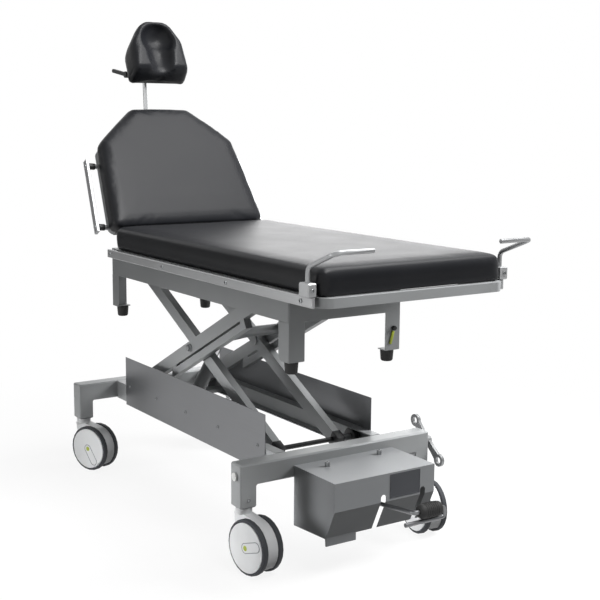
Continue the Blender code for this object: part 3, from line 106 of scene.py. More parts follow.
class TableColours(bpy.types.PropertyGroup):
    """Colours of the finishes."""
    paint: colour("Paint", "Silver-grey powder coat of the frame", "#9fa1a2")
    # The brushed steel comes as two copies: the sheet's is darker, as painted shade against the
    # white floor it mirrors, and the rails' is lighter, as painted light against the dim grey cards
    # they mirror; partly a real difference between sheet and bar.
    stainless: colour("Stainless", "Brushed sheet and pedal bar", "#7c7d7f")
    rail: colour("Rail", "Brushed bar of the rails and clamps", "#b4b5b6")
    bright: colour("Bright steel", "Polished post and piston rod", "#c9cacb")
    satin: colour("Satin steel", "Push handles and brake lever", "#98999a")
    plate: colour("Blank plate", "Bare plate on the pump cover", "#34363b")
    cover: colour("Cover", "Coat of the pump's cover and the cylinder", "#8a8c8e")
    leatherette: colour("Leatherette", "Upholstery cover", "#17181b")
    tyre: colour("Tyre", "Grey tread of the wheels", "#34363a")
    disc: colour("Disc", "Moulded wheel cover", "#e9eaeb")
    dot: colour("Hub cap", "Small cap at the wheel's middle", "#a9b53c")
    # painted shade: this grey stands in for the shadow in the groove round the wheel cover's lever
    line: colour("Line", "Moulded line round the wheel cover's lever", "#7f8286")
    fork: colour("Caster body", "Moulded caster housing", "#e9eaeb")
    rubber: colour("Rubber", "Feet and pedal pad", "#161616")
    moulding: colour("Black moulding", "Rollers, lever, bracket and pump", "#1b1c1d")
    zinc: colour("Zinc", "Plated screws", "#8d8f90")
    plug: colour("Plug", "Pale end plug", "#e2e3e1")


class TableSizes(bpy.types.PropertyGroup):
    """Sizes of the fittings and of the upholstery."""
    tube_edge: length("Tube edge", "Rounding of painted tube edges", 0.0022)
    sheet_edge: length("Sheet edge", "Rounding of sheet and bar edges", 0.0006)
    moulded_edge: length("Moulded edge", "Rounding of moulded plastic edges", 0.0016)
    plate_screw: length("Plate screw", "Head diameter of the side plates' screws", 0.0095)
    rail_screw: length("Rail screw", "Head diameter of the rails' screws", 0.0120)
    leg_screw: length("Leg screw", "Head diameter of the legs' and clamps' screws", 0.0100)
    pivot_bolt: length("Pivot bolt", "Head width of the scissor's middle bolts", 0.0190)
    cover_bolt: length("Cover bolt", "Head diameter of the pump cover's bolts", 0.0135)
    disc_reach: length("Disc", "Radius of the moulded wheel cover", 0.0664)
    dot_reach: length("Hub cap", "Radius of the hub cap", 0.0078)
    seat_voxel: length("Seat voxel", "Remesh size of the seat's foam", 0.0080)
    back_voxel: length("Back voxel", "Remesh size of the backrest's foam", 0.0060)
    head_voxel: length("Head voxel", "Remesh size of the headrest's foam", 0.0040)
    swell: length("Swell", "Furthest that the cover stands out under pressure", 0.0030)


def sizes():
    return bpy.context.scene.table_sizes


def tint(name):
    return tuple(getattr(bpy.context.scene.table_colours, name))


# Materials
def put(tree, kind, links=(), **settings):
    """Adds a node with its settings, and links its inputs from other nodes' outputs."""
    node = tree.nodes.new(kind)
    for key, value in settings.items():
        if hasattr(node, key):
            setattr(node, key, value)
        else:
            node.inputs[key.replace("_", " ")].default_value = value
    for name, socket in links:
        tree.links.new(socket, node.inputs[name])
    return node


def bare(name):
    """A material without nodes, and its tree."""
    mat = bpy.data.materials.new(name)
    mat.use_nodes = True
    mat.node_tree.nodes.clear()
    return mat, mat.node_tree


def blank(name):
    """A material with its shader and output, and Object coordinates in metres."""
    mat, tree = bare(name)
    shader = put(tree, "ShaderNodeBsdfPrincipled")
    put(tree, "ShaderNodeOutputMaterial", [("Surface", shader.outputs[0])])
    place = put(tree, "ShaderNodeTexCoord").outputs["Object"]
    return mat, tree, shader, place


def dress(tree, shader, base, tone, spread, worn, rough, relief=None, height=0.0):
    """Colour runs darker and lighter with one pattern, gloss with another, relief with a third."""
    mix = put(tree, "ShaderNodeMix", [(0, tone)], data_type="RGBA")
    mix.inputs[6].default_value = (*[max(0.0, c * (1 - spread)) for c in base], 1)
    mix.inputs[7].default_value = (*[min(1.0, c * (1 + spread)) for c in base], 1)
    tree.links.new(mix.outputs[2], shader.inputs["Base Color"])
    gloss = put(tree, "ShaderNodeMapRange", [("Value", worn)], To_Min=rough[0], To_Max=rough[1])
    tree.links.new(gloss.outputs[0], shader.inputs["Roughness"])
    if relief:
        bump = put(tree, "ShaderNodeBump", [("Height", relief)], Strength=1.0, Distance=height)
        tree.links.new(bump.outputs[0], shader.inputs["Normal"])


def per_metre(millimetres):
    """Noise scale whose features are about this wide."""
    return 1000.0 / millimetres


def powder_coat(name, base, rough, metal=0.30):
    """Powder-coated steel, sprayed and baked: an orange peel, drawn 2 mm wide so that it shows."""
    mat, tree, shader, place = blank(name)
    peel = put(tree, "ShaderNodeTexNoise", [("Vector", place)], Scale=per_metre(2.0), Detail=3.0)
    cloud = put(tree, "ShaderNodeTexNoise", [("Vector", place)], Scale=per_metre(120), Detail=4.0)
    dress(tree, shader, base, cloud.outputs[0], spread=0.07, worn=peel.outputs[0],
          rough=(rough - 0.06, rough + 0.06), relief=peel.outputs[0], height=0.00006)
    shader.inputs["Metallic"].default_value = metal
    shader.inputs["Specular IOR Level"].default_value = 0.25
    return mat


def brushed(name, base, rough, metal=1.0):
    """Stainless steel brushed along X: hairlines, drawn 0.8 mm wide so that they show."""
    mat, tree, shader, place = blank(name)
    stretch = put(tree, "ShaderNodeMapping", [("Vector", place)],
                  Scale=(per_metre(90), per_metre(0.8), per_metre(0.8)))
    hair = put(tree, "ShaderNodeTexNoise", [("Vector", stretch.outputs[0])], Scale=1.0, Detail=3.0)
    cloud = put(tree, "ShaderNodeTexNoise", [("Vector", place)], Scale=per_metre(160), Detail=3.0)
    wear = put(tree, "ShaderNodeMath", [(0, hair.outputs[0]), (1, cloud.outputs[0])],
               operation="MULTIPLY")
    dress(tree, shader, base, hair.outputs[0], spread=0.10, worn=wear.outputs[0],
          rough=(rough - 0.08, rough + 0.16), relief=hair.outputs[0], height=0.000012)
    shader.inputs["Metallic"].default_value = metal
    return mat


def polished(name, base, rough):
    """Ground and polished steel rod: bright, with faint handling marks about 6 mm wide."""
    mat, tree, shader, place = blank(name)
    marks = put(tree, "ShaderNodeTexNoise", [("Vector", place)], Scale=per_metre(6), Detail=6.0,
                Roughness=0.7)
    dress(tree, shader, base, marks.outputs[0], spread=0.05, worn=marks.outputs[0],
          rough=(rough * 0.7, rough * 1.5))
    shader.inputs["Metallic"].default_value = 1.0
    return mat


def leatherette(name, base):
    """Embossed PVC leatherette over foam: a pebble grain, drawn 2.4 mm wide so that it shows."""
    mat, tree, shader, place = blank(name)
    pebble = put(tree, "ShaderNodeTexVoronoi", [("Vector", place)], Scale=per_metre(2.4),
                 Randomness=0.9)
    crease = put(tree, "ShaderNodeTexNoise", [("Vector", place)], Scale=per_metre(0.9), Detail=2.0)
    cloud = put(tree, "ShaderNodeTexNoise", [("Vector", place)], Scale=per_metre(140), Detail=4.0)
    grain = put(tree, "ShaderNodeMath", [(0, pebble.outputs["Distance"]), (1, crease.outputs[0])],
                operation="ADD")
    dress(tree, shader, base, cloud.outputs[0], spread=0.14, worn=cloud.outputs[0],
          rough=(0.32, 0.42), relief=grain.outputs[0], height=0.00010)
    shader.inputs["IOR"].default_value = 1.50
    shader.inputs["Specular IOR Level"].default_value = 0.20
    return mat


def moulded(name, base, rough):
    """Injection-moulded nylon or ABS: an even satin with a spark-eroded texture 1.6 mm wide."""
    mat, tree, shader, place = blank(name)
    spark = put(tree, "ShaderNodeTexNoise", [("Vector", place)], Scale=per_metre(1.6), Detail=2.0)
    cloud = put(tree, "ShaderNodeTexNoise", [("Vector", place)], Scale=per_metre(40), Detail=3.0)
    dress(tree, shader, base, cloud.outputs[0], spread=0.06, worn=spark.outputs[0],
          rough=(rough - 0.05, rough + 0.07), relief=spark.outputs[0], height=0.00003)
    shader.inputs["IOR"].default_value = 1.49
    return mat


def rubber(name, base):
    """Moulded rubber: matt and slightly dusty, with scuffs about 10 mm wide."""
    mat, tree, shader, place = blank(name)
    scuff = put(tree, "ShaderNodeTexNoise", [("Vector", place)], Scale=per_metre(10), Detail=6.0,
                Roughness=0.65)
    dress(tree, shader, base, scuff.outputs[0], spread=0.25, worn=scuff.outputs[0],
          rough=(0.58, 0.80), relief=scuff.outputs[0], height=0.00008)
    shader.inputs["IOR"].default_value = 1.52
    return mat


MAKERS = {
    "paint": lambda: powder_coat("silver_powder_coat", tint("paint"), rough=0.42),
    # the sheet's darker copy and the bar's lighter copy of one brushed steel are partly painted
    # shade and painted light
    "steel": lambda: brushed("brushed_stainless", tint("stainless"), rough=0.40),
    "rail": lambda: brushed("brushed_bar", tint("rail"), rough=0.42, metal=0.7),
    "chrome": lambda: polished("polished_steel", tint("bright"), rough=0.22),
    "cover": lambda: powder_coat("grey_powder_coat", tint("cover"), rough=0.46, metal=0.0),
    "black": lambda: moulded("black_nylon", tint("moulding"), rough=0.45),
    "rubber": lambda: rubber("black_rubber", tint("rubber")),
    "vinyl": lambda: leatherette("black_leatherette", tint("leatherette")),
    "wheel": lambda: rubber("grey_tread_rubber", tint("tyre")),
    "plastic": lambda: moulded("caster_nylon", tint("fork"), rough=0.42),
    "satin": lambda: polished("satin_steel", tint("satin"), rough=0.36),
    "plate": lambda: moulded("dark_abs", tint("plate"), rough=0.40),
    "disc": lambda: moulded("pale_nylon", tint("disc"), rough=0.38),
    "dot": lambda: moulded("green_nylon", tint("dot"), rough=0.40),
    # the grey loop's finish is painted shade of the wheel cover's groove
    "line": lambda: moulded("grey_nylon", tint("line"), rough=0.45),
    "zinc": lambda: polished("zinc_plated_steel", tint("zinc"), rough=0.32),
    "plug": lambda: moulded("pale_abs", tint("plug"), rough=0.45),
}
FINISHES = {}


def finish_of(key):
    """The finish, made once."""
    if key not in FINISHES:
        FINISHES[key] = MAKERS[key]()
    return FINISHES[key]


# Modelling
WELD = 0.00002    # points this near become one
FLAT = math.radians(0.4)    # faces this near to flat become one
SMOOTH_UNDER = 32    # degrees between faces that shade as one


def clear_selection():
    if bpy.context.object and bpy.context.object.mode != "OBJECT":
        bpy.ops.object.mode_set(mode="OBJECT")
    bpy.ops.object.select_all(action="DESELECT")


def only(obj):
    clear_selection()
    obj.select_set(True)
    bpy.context.view_layer.objects.active = obj


def drop(obj):
    bpy.data.objects.remove(obj, do_unlink=True)


def start(add, name, **settings):
    """A new primitive under this name, selected alone."""
    clear_selection()
    add(**settings)
    obj = bpy.context.object
    obj.name = name
    bpy.ops.object.transform_apply(location=True, rotation=True, scale=True)
    return obj


def stub(name, radius, foot, top, sides=32):
    """A round bar on the Z axis from one height to another."""
    return start(bpy.ops.mesh.primitive_cylinder_add, name, vertices=sides, radius=radius,
                 depth=top - foot, location=(0, 0, (foot + top) / 2))


def upward(at, way):
    return way.z > 0.9


def everywhere(at, way):
    return True


def pick(obj, test, kind="FACE"):
    """In edit mode, selects the faces by middle and normal, or the edges by middle and span."""
    bpy.ops.mesh.select_mode(type=kind)
    bpy.ops.mesh.select_all(action="DESELECT")
    mesh = bmesh.from_edit_mesh(obj.data)
    mesh.normal_update()
    if kind == "FACE":
        for face in mesh.faces:
            face.select_set(test(face.calc_center_median(), face.normal))
    else:
        for edge in mesh.edges:
            one, two = (vert.co for vert in edge.verts)
            edge.select_set(test((one + two) / 2, one - two))
    mesh.select_flush_mode()
    bmesh.update_edit_mesh(obj.data)


def rounded(obj, test, offset, segments, kind="FACE"):
    """Rounds the edges that pass the test, or all round the faces that do."""
    only(obj)
    bpy.ops.object.mode_set(mode="EDIT")
    pick(obj, test, kind)
    bpy.ops.mesh.bevel(offset=offset, segments=segments, affect="EDGES")
    bpy.ops.object.mode_set(mode="OBJECT")


def stepped(obj, test, steps):
    """Insets the faces that pass the test, once for each thickness and depth."""
    only(obj)
    bpy.ops.object.mode_set(mode="EDIT")
    pick(obj, test)
    for thickness, depth in steps:
        bpy.ops.mesh.inset(thickness=thickness, depth=depth)
    bpy.ops.object.mode_set(mode="OBJECT")


def apply(obj, kind, **settings):
    """Adds a modifier and applies it."""
    only(obj)
    mod = obj.modifiers.new(kind.title(), kind)
    for key, value in settings.items():
        setattr(mod, key, value)
    bpy.ops.object.modifier_apply(modifier=mod.name)


def combine(obj, tool, how):
    """Cuts or adds another piece, which is used up."""
    apply(obj, "BOOLEAN", operation=how, object=tool)
    drop(tool)


def smooth(obj, degrees=SMOOTH_UNDER):
    only(obj)
    bpy.ops.object.shade_smooth_by_angle(angle=math.radians(degrees))


def settle(obj, body, slot, finish=None):
    """Gives a finished piece its finish, the slot's own unless another is named, and lets it ride on
    its body.
    """
    obj.data.materials.clear()
    obj.data.materials.append(finish_of(finish or slot))
    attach(obj, body)


def copies(master, places, name):
    """Copies of the master at several places, joined into one piece."""
    made = []
    for place in places:
        twin = master.copy()
        twin.data = master.data.copy()
        twin.data.transform(place)
        bpy.context.scene.collection.objects.link(twin)
        made.append(twin)
    clear_selection()
    for twin in made:
        twin.select_set(True)
    bpy.context.view_layer.objects.active = made[0]
    if len(made) > 1:
        bpy.ops.object.join()
    made[0].name = name
    return made[0]


def facing(point, direction, turn=0.0):
    """Place whose Z looks along a direction."""
    look = Vector(direction).to_track_quat("Z", "Y").to_matrix().to_4x4()
    return Matrix.Translation(point) @ look @ Matrix.Rotation(turn, 4, "Z")


def middle(node):
    low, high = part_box(node)
    return (low + high) / 2


def merged_copy(node, name):
    """A copy of a CAD node's shape with its triangles joined into whole faces."""
    obj = NODES[node].copy()
    obj.data = NODES[node].data.copy()
    obj.name = name
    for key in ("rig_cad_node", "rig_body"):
        if key in obj:
            del obj[key]
    obj.parent = None
    bpy.context.scene.collection.objects.link(obj)
    only(obj)
    bpy.ops.object.mode_set(mode="EDIT")
    bpy.ops.mesh.select_all(action="SELECT")
    bpy.ops.mesh.remove_doubles(threshold=WELD)
    bpy.ops.mesh.dissolve_limited(angle_limit=FLAT)
    bpy.ops.object.mode_set(mode="OBJECT")
    return obj


# Screw and bolt heads, in shares of the head's radius
SCREW_SUNK, SCREW_ROUND = 0.075, 0.28
SOCKET_REACH, SOCKET_FLOOR = 0.52, 0.45    # the floor is below the head's height
WASHER_REACH, WASHER_FOOT, WASHER_TOP, WASHER_ROUND = 1.35, -0.02, 0.22, 0.06
HEXAGON_FOOT, HEXAGON_TOP, HEXAGON_ROUND = 0.20, 1.00, 0.09


def screw_head(name, width, tall=0.75):
    """Screw head with a hexagon socket, on the origin and looking up."""
    reach = width / 2
    head = stub(name, reach, -reach * SCREW_SUNK, reach * (tall - SCREW_SUNK), 24)
    rounded(head, upward, reach * SCREW_ROUND, 3)
    floor = reach * (tall - SOCKET_FLOOR)
    combine(head, stub(name + "_key", reach * SOCKET_REACH, floor, floor + reach, 6), "DIFFERENCE")
    smooth(head)
    return head


def bolt_head(name, width):
    """Hexagon head on a washer, on the origin and looking up."""
    reach = width / 2
    washer = stub(name, reach * WASHER_REACH, reach * WASHER_FOOT, reach * WASHER_TOP)
    rounded(washer, upward, reach * WASHER_ROUND, 2)
    head = stub(name + "_head", reach, reach * HEXAGON_FOOT, reach * HEXAGON_TOP, 6)
    rounded(head, upward, reach * HEXAGON_ROUND, 2)
    combine(washer, head, "UNION")
    smooth(washer)
    return washer


# Rigid pieces
EDGES = {"paint": "tube_edge", "steel": "sheet_edge", "chrome": "sheet_edge", "cover": "sheet_edge",
         "black": "moulded_edge", "rubber": "moulded_edge", "wheel": "sheet_edge",
         "plastic": "moulded_edge"}
THIN = ("lift_end", "side_plate", "pump_cover", "lift_rail", "base_rail", "headrest_bracket")
FOLDED = "pump_cover"
# rails and clamps take the lighter copy of the brushed steel, partly painted light
OWN_FINISH = {"push_handle": "satin", "brake_pedal": "satin", "side_rail": "rail",
              "back_rail": "rail", "handle_clamp": "rail", "pump_pedal": "steel"}
BEVEL_OVER = math.radians(38)
METAL_SMOOTH_UNDER = 34
FOLD_SMOOTH_UNDER = 12    # keeps the cover's shallow fold crisp


class TABLE_OT_metalwork(bpy.types.Operator):
    """Rounds the edges of the rigid parts and gives each its finish"""
    bl_idname = "treatment_table.metalwork"
    bl_label = "Metalwork and mouldings"

    def execute(self, context):
        for node, slot in SLOT_OF.items():
            if slot == "vinyl":
                continue
            piece = merged_copy(node, node + "_finished")
            edge = "sheet_edge" if node.startswith(THIN) else EDGES[slot]
            apply(piece, "BEVEL", width=getattr(sizes(), edge), segments=2, limit_method="ANGLE",
                  angle_limit=BEVEL_OVER, use_clamp_overlap=True)
            smooth(piece, FOLD_SMOOTH_UNDER if node == FOLDED else METAL_SMOOTH_UNDER)
            apply(piece, "WEIGHTED_NORMAL", keep_sharp=True)
            finish = next((own for part, own in OWN_FINISH.items() if node.startswith(part)), slot)
            settle(piece, BODY_OF[node], slot, finish)
            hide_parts(node)
        return {"FINISHED"}


# Upholstery
VOXEL_ROUNDS = 3    # of smoothing, which take out the remesh's steps
CLOTH_FRAMES, CLOTH_QUALITY, CLOTH_PRESSURE = 20, 4, 4.0
HELD, HELD_FADE = 0.006, 0.02    # the cover is held this far from its base, then comes free
SEAT_BASE, SEAT_CORNER, SEAT_ROUNDS = 0.02, 0.08, 12
BACK_CORNERS = ((0.312, 0.2495), (0.441, 0.1075))    # up the backrest and out from its middle
BACK_CORNER, BACK_ROUNDS = 0.07, 40
HEAD_ROUNDS = 70
HEAD_FREE = 0.5    # share of the swell that the headrest's moulded foam takes
SADDLE_FROM_BOWL = Vector((0.020, 0, -0.052))
BOWL_SOFT, BOWL_FADE = 1.6, 0.06
SADDLE_SOFT, SADDLE_FADE = 1.5, 0.045
HOLLOW_UP, HOLLOW_OUT = 0.050, 0.024    # from the front face's lower edge
HOLLOW_RADII = (0.052, 0.085, 0.062)    # across, up and out


def clamped(value):
    return min(1.0, max(0.0, value))


def eased(piece, weight, rounds):
    """Softens the form where the weight is high, as foam under a stretched cover does."""
    soft = piece.vertex_groups.new(name="soft")
    for vert in piece.data.vertices:
        soft.add([vert.index], clamped(weight(vert.co)), "REPLACE")
    apply(piece, "SMOOTH", factor=0.5, iterations=rounds, vertex_group="soft")
    piece.vertex_groups.clear()


def swelled(piece, cap, steady):
    """Foam under its cover: blown up a little as cloth, and kept near its own shape."""
    rest = [v.co.copy() for v in piece.data.vertices]
    cloth = piece.modifiers.new("Cover", "CLOTH")
    cloth.settings.quality = CLOTH_QUALITY
    cloth.settings.use_pressure = True
    cloth.settings.uniform_pressure_force = CLOTH_PRESSURE
    cloth.settings.effector_weights.gravity = 0.0
    cloth.point_cache.frame_start = 1
    cloth.point_cache.frame_end = CLOTH_FRAMES
    scene = bpy.context.scene
    for step in range(1, CLOTH_FRAMES + 1):
        scene.frame_set(step)
    blown = piece.evaluated_get(bpy.context.evaluated_depsgraph_get()).data
    moved = [v.co.copy() for v in blown.vertices]
    piece.modifiers.remove(cloth)
    scene.frame_set(1)
    for vert, home, away in zip(piece.data.vertices, rest, moved):
        shift = away - home
        if shift.length > cap:
            shift *= cap / shift.length
        vert.co = home + shift * steady(home)


def upholstered(node, name, voxel, soft, rounds, steady, carve=None):
    """A cushion that stands for its CAD solid."""
    piece = merged_copy(node, name)
    if carve:
        carve(piece)
    apply(piece, "REMESH", mode="VOXEL", voxel_size=voxel, use_smooth_shade=True)
    eased(piece, lambda at: 1.0, VOXEL_ROUNDS)
    eased(piece, soft, rounds)
    swelled(piece, sizes().swell, steady)
    apply(piece, "SUBSURF", levels=1, render_levels=1)
    only(piece)
    bpy.ops.object.shade_smooth()
    settle(piece, BODY_OF[node], "vinyl")
    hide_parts(node)


class TABLE_OT_seat(bpy.types.Operator):
    """Makes the seat's upholstery"""
    bl_idname = "treatment_table.seat"
    bl_label = "Seat cushion"

    def execute(self, context):
        low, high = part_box("seat_cushion")

        def steady(at):
            return clamped((at.z - low.z - HELD) / HELD_FADE)

        def soft(at):
            corner = Vector((max(high.x - at.x, 0), min(at.y - low.y, high.y - at.y)))
            return (1 - corner.length / SEAT_CORNER) if at.z > low.z + SEAT_BASE else 0.0

        upholstered("seat_cushion", "seat_upholstery", sizes().seat_voxel, soft, SEAT_ROUNDS,
                    steady)
        return {"FINISHED"}


class TABLE_OT_back(bpy.types.Operator):
    """Makes the backrest's upholstery"""
    bl_idname = "treatment_table.back"
    bl_label = "Back cushion"

    def execute(self, context):
        hinge = Vector(JOINTS["backrest_tilt"]["pos_m"])
        front = Vector((math.sin(BACK_LEAN), 0, math.cos(BACK_LEAN)))
        up = Vector((-front.z, 0, front.x))
        centre = middle("back_cushion").y
        rear = min((v.co - hinge).dot(front) for v in NODES["back_cushion"].data.vertices)

        def steady(at):
            return clamped(((at - hinge).dot(front) - rear - HELD) / HELD_FADE)

        def soft(at):
            spot = ((at - hinge).dot(up), abs(at.y - centre))
            return max(1 - math.dist(spot, corner) / BACK_CORNER for corner in BACK_CORNERS)

        upholstered("back_cushion", "back_upholstery", sizes().back_voxel, soft, BACK_ROUNDS,
                    steady)
        return {"FINISHED"}


class TABLE_OT_head(bpy.types.Operator):
    """Makes the headrest's moulded upholstery"""
    bl_idname = "treatment_table.head"
    bl_label = "Headrest cushion"

    def execute(self, context):
        openings = {o["name"]: o for o in frame["record"]["physics"]["openings"]}
        low, high = (Vector(corner) for corner in openings["headrest_bowl"]["box_m"])
        bowl = (low + high) / 2
        saddle = bowl + SADDLE_FROM_BOWL

        def soft(at):
            return max(BOWL_SOFT - (at - bowl).length / BOWL_FADE,
                       SADDLE_SOFT - (at - saddle).length / SADDLE_FADE)

        def carve(piece):
            front = max((f for f in piece.data.polygons if f.normal.x > 0.4), key=lambda f: f.area)
            way = Vector((front.normal.x, 0, front.normal.z)).normalized()
            up = Vector((-way.z, 0, way.x))
            chin = min((piece.data.vertices[i].co for i in front.vertices),
                       key=lambda co: co.dot(up))
            at = chin + up * HOLLOW_UP + way * HOLLOW_OUT
            turn = Matrix(((0, 1, 0), up, way)).transposed().to_4x4()
            hollow = start(bpy.ops.mesh.primitive_uv_sphere_add, "hollow", segments=48,
                           ring_count=24, radius=1)
            hollow.data.transform(Matrix.Translation((at.x, bowl.y, at.z)) @ turn
                                  @ Matrix.Diagonal((*HOLLOW_RADII, 1)))
            combine(piece, hollow, "DIFFERENCE")

        upholstered("headrest_cushion", "headrest_upholstery", sizes().head_voxel, soft,
                    HEAD_ROUNDS, lambda at: HEAD_FREE, carve=carve)
        return {"FINISHED"}


# Casters
DISC_SUNK = 0.0020    # into the wheel's face, from which the heights below count
DISC_FOOT, DISC_TOP, DISC_ROUND = -0.0006, 0.0030, 0.0011
DISC_STEPS = ((0.0040, 0.0006), (0.0180, 0.0006))    # thickness and rise towards the middle
# The loop is painted shade: a grey moulding, flush with the disc, stands in for the shadow in the
# groove round the lever.
LINE_OUTER, LINE_INNER = 0.0143, 0.0123    # half widths of the line's loop
LINE_FOOT, LINE_TOP = 0.0014, 0.0044
LINE_SHARE = 0.70    # of the disc's radius from the hub to the middle of the loop's far end
CAP_FOOT, CAP_TOP, CAP_ROUND = 0.0015, 0.0045, 0.0012
LEVER_TURN = {"foot_left": 0.32, "foot_right": 1.1, "head_left": -1.0, "head_right": 0.5}


class TABLE_OT_wheel_discs(bpy.types.Operator):
    """Puts a moulded disc with a hub cap on each wheel, and a grey loop round its lever as painted
    shade of the groove there
    """
    bl_idname = "treatment_table.wheel_discs"
    bl_label = "Wheel discs"

    def loop(self, wide):
        """A long round-ended block from the hub towards the disc's edge."""
        block = stub("line", wide, LINE_FOOT, LINE_TOP, 40)
        bpy.ops.object.mode_set(mode="EDIT")
        pick(block, lambda at, way: at.x > 0.0 and abs(way.z) < 0.5)
        bpy.ops.transform.translate(value=(sizes().disc_reach * LINE_SHARE, 0, 0))
        bpy.ops.object.mode_set(mode="OBJECT")
        return block

    def execute(self, context):
        disc = stub("disc_master", sizes().disc_reach, DISC_FOOT, DISC_TOP, 72)
        rounded(disc, upward, DISC_ROUND, 3)
        stepped(disc, lambda at, way: way.z > 0.99, DISC_STEPS)
        line = self.loop(LINE_OUTER)
        combine(line, self.loop(LINE_INNER), "DIFFERENCE")
        cap = stub("cap_master", sizes().dot_reach, CAP_FOOT, CAP_TOP)
        rounded(cap, upward, CAP_ROUND, 3)
        masters = ((disc, "_disc", "disc"), (cap, "_cap", "dot"), (line, "_line", "line"))
        for master in (disc, cap, line):
            smooth(master)
        for place in PLACES:
            for hand, sign in SIDES.items():
                body = "wheel_" + place + "_" + hand
                joint = JOINTS[body + "_roll"]
                out, hub = Vector(joint["axis"]) * sign, Vector(joint["pos_m"])
                wheel = NODES["caster_" + place + "_wheel_" + hand]
                face = max((v.co - hub).dot(out) for v in wheel.data.vertices)
                at = facing(hub + out * (face - DISC_SUNK), out, LEVER_TURN[place])
                for master, tail, finish in masters:
                    settle(copies(master, [at], body + tail), body, "plastic", finish)
        for master in (disc, cap, line):
            drop(master)
        return {"FINISHED"}


# Fasteners, with places in metres from a piece's box
HEAD_SUNK = 0.0008
PLATE_SCREW_RISE = 0.030    # over the middle of the rail behind
PLATE_SCREW_SHARES = (0.035, 0.255, 0.480, 0.705, 0.955)    # along the plate
PLATE_SCREW_TURN = 0.4    # from one screw to the next
RAIL_HEAD_SUNK = 0.0010
RAIL_SCREWS_FROM_HEAD = (0.020, 0.377, 0.740)
RAIL_SCREW_FROM_FOOT = 0.046
RAIL_SCREW_TURN = 0.5
SPACERS = (-0.110, 0.110)    # along the back rail from the middle of its face
SLEEVE_REACH, SLEEVE_FOOT, SLEEVE_TOP, SLEEVE_ROUND = 0.0105, -0.03155, -0.01005, 0.0010
PIVOT_NEAR = 0.03    # of the scissor's middle, where the arm's face is looked for
PIVOT_TURN = 0.3
BOLT_SUNK = 0.0006
COVER_BOLT_TALL = 2.1    # in shares of the head's radius
COVER_BOLT_LEFT = (0.052, 0.071)
COVER_BOLT_RIGHT = (0.038, 0.073)
LEG_SCREW_HEIGHT, LEG_SCREW_IN = 0.190, 0.025


class TABLE_OT_plate_screws(bpy.types.Operator):
    """Puts the row of screws in each side plate"""
    bl_idname = "treatment_table.plate_screws"
    bl_label = "Side plate screws"

    def execute(self, context):
        master = screw_head("plate_screw_master", sizes().plate_screw)
        for side, sign in SIDES.items():
            low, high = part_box("side_plate_" + side)
            y = (high.y if sign > 0 else low.y) - sign * HEAD_SUNK
            z = middle("base_rail_" + side).z + PLATE_SCREW_RISE
            places = [facing((low.x + (high.x - low.x) * share, y, z), (0, sign, 0),
                             PLATE_SCREW_TURN * k) for k, share in enumerate(PLATE_SCREW_SHARES)]
            settle(copies(master, places, "side_plate_%s_screws" % side), "base", "chrome", "zinc")
        drop(master)
        return {"FINISHED"}


class TABLE_OT_rail_screws(bpy.types.Operator):
    """Screws the side rails and back rails to their spacers, and sleeves the back rails' spacers"""
    bl_idname = "treatment_table.rail_screws"
    bl_label = "Rail screws"

    def execute(self, context):
        mounts = {m["name"]: m for m in frame["record"]["mounts"]}
        master = screw_head("rail_screw_master", sizes().rail_screw)
        sleeve = stub("sleeve", SLEEVE_REACH, SLEEVE_FOOT, SLEEVE_TOP)
        rounded(sleeve, lambda at, way: abs(way.z) > 0.9, SLEEVE_ROUND, 2)
        smooth(sleeve)
        for side, sign in SIDES.items():
            low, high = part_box("side_rail_" + side)
            y = (high.y if sign > 0 else low.y) - sign * RAIL_HEAD_SUNK
            z = (low.z + high.z) / 2
            row = [low.x + x for x in RAIL_SCREWS_FROM_HEAD] + [high.x - RAIL_SCREW_FROM_FOOT]
            places = [facing((x, y, z), (0, sign, 0), RAIL_SCREW_TURN * k)
                      for k, x in enumerate(row)]
            settle(copies(master, places, "side_rail_%s_screws" % side),
                   "table_top", "chrome", "zinc")
            mount = mounts["back_rail_%s_face" % side]
            out = Vector(mount["axis"])
            along = Vector((-math.cos(BACK_LEAN), 0, math.sin(BACK_LEAN)))
            along = (along - out * along.dot(out)).normalized()
            spots = [Vector(mount["pos_m"]) + along * s for s in SPACERS]
            places = [facing(spot - out * RAIL_HEAD_SUNK, out) for spot in spots]
            settle(copies(master, places, "back_rail_%s_screws" % side),
                   "backrest", "chrome", "zinc")
            settle(copies(sleeve, [facing(spot, out) for spot in spots],
                          "back_rail_%s_sleeves" % side), "backrest", "black")
        drop(sleeve)
        drop(master)
        return {"FINISHED"}


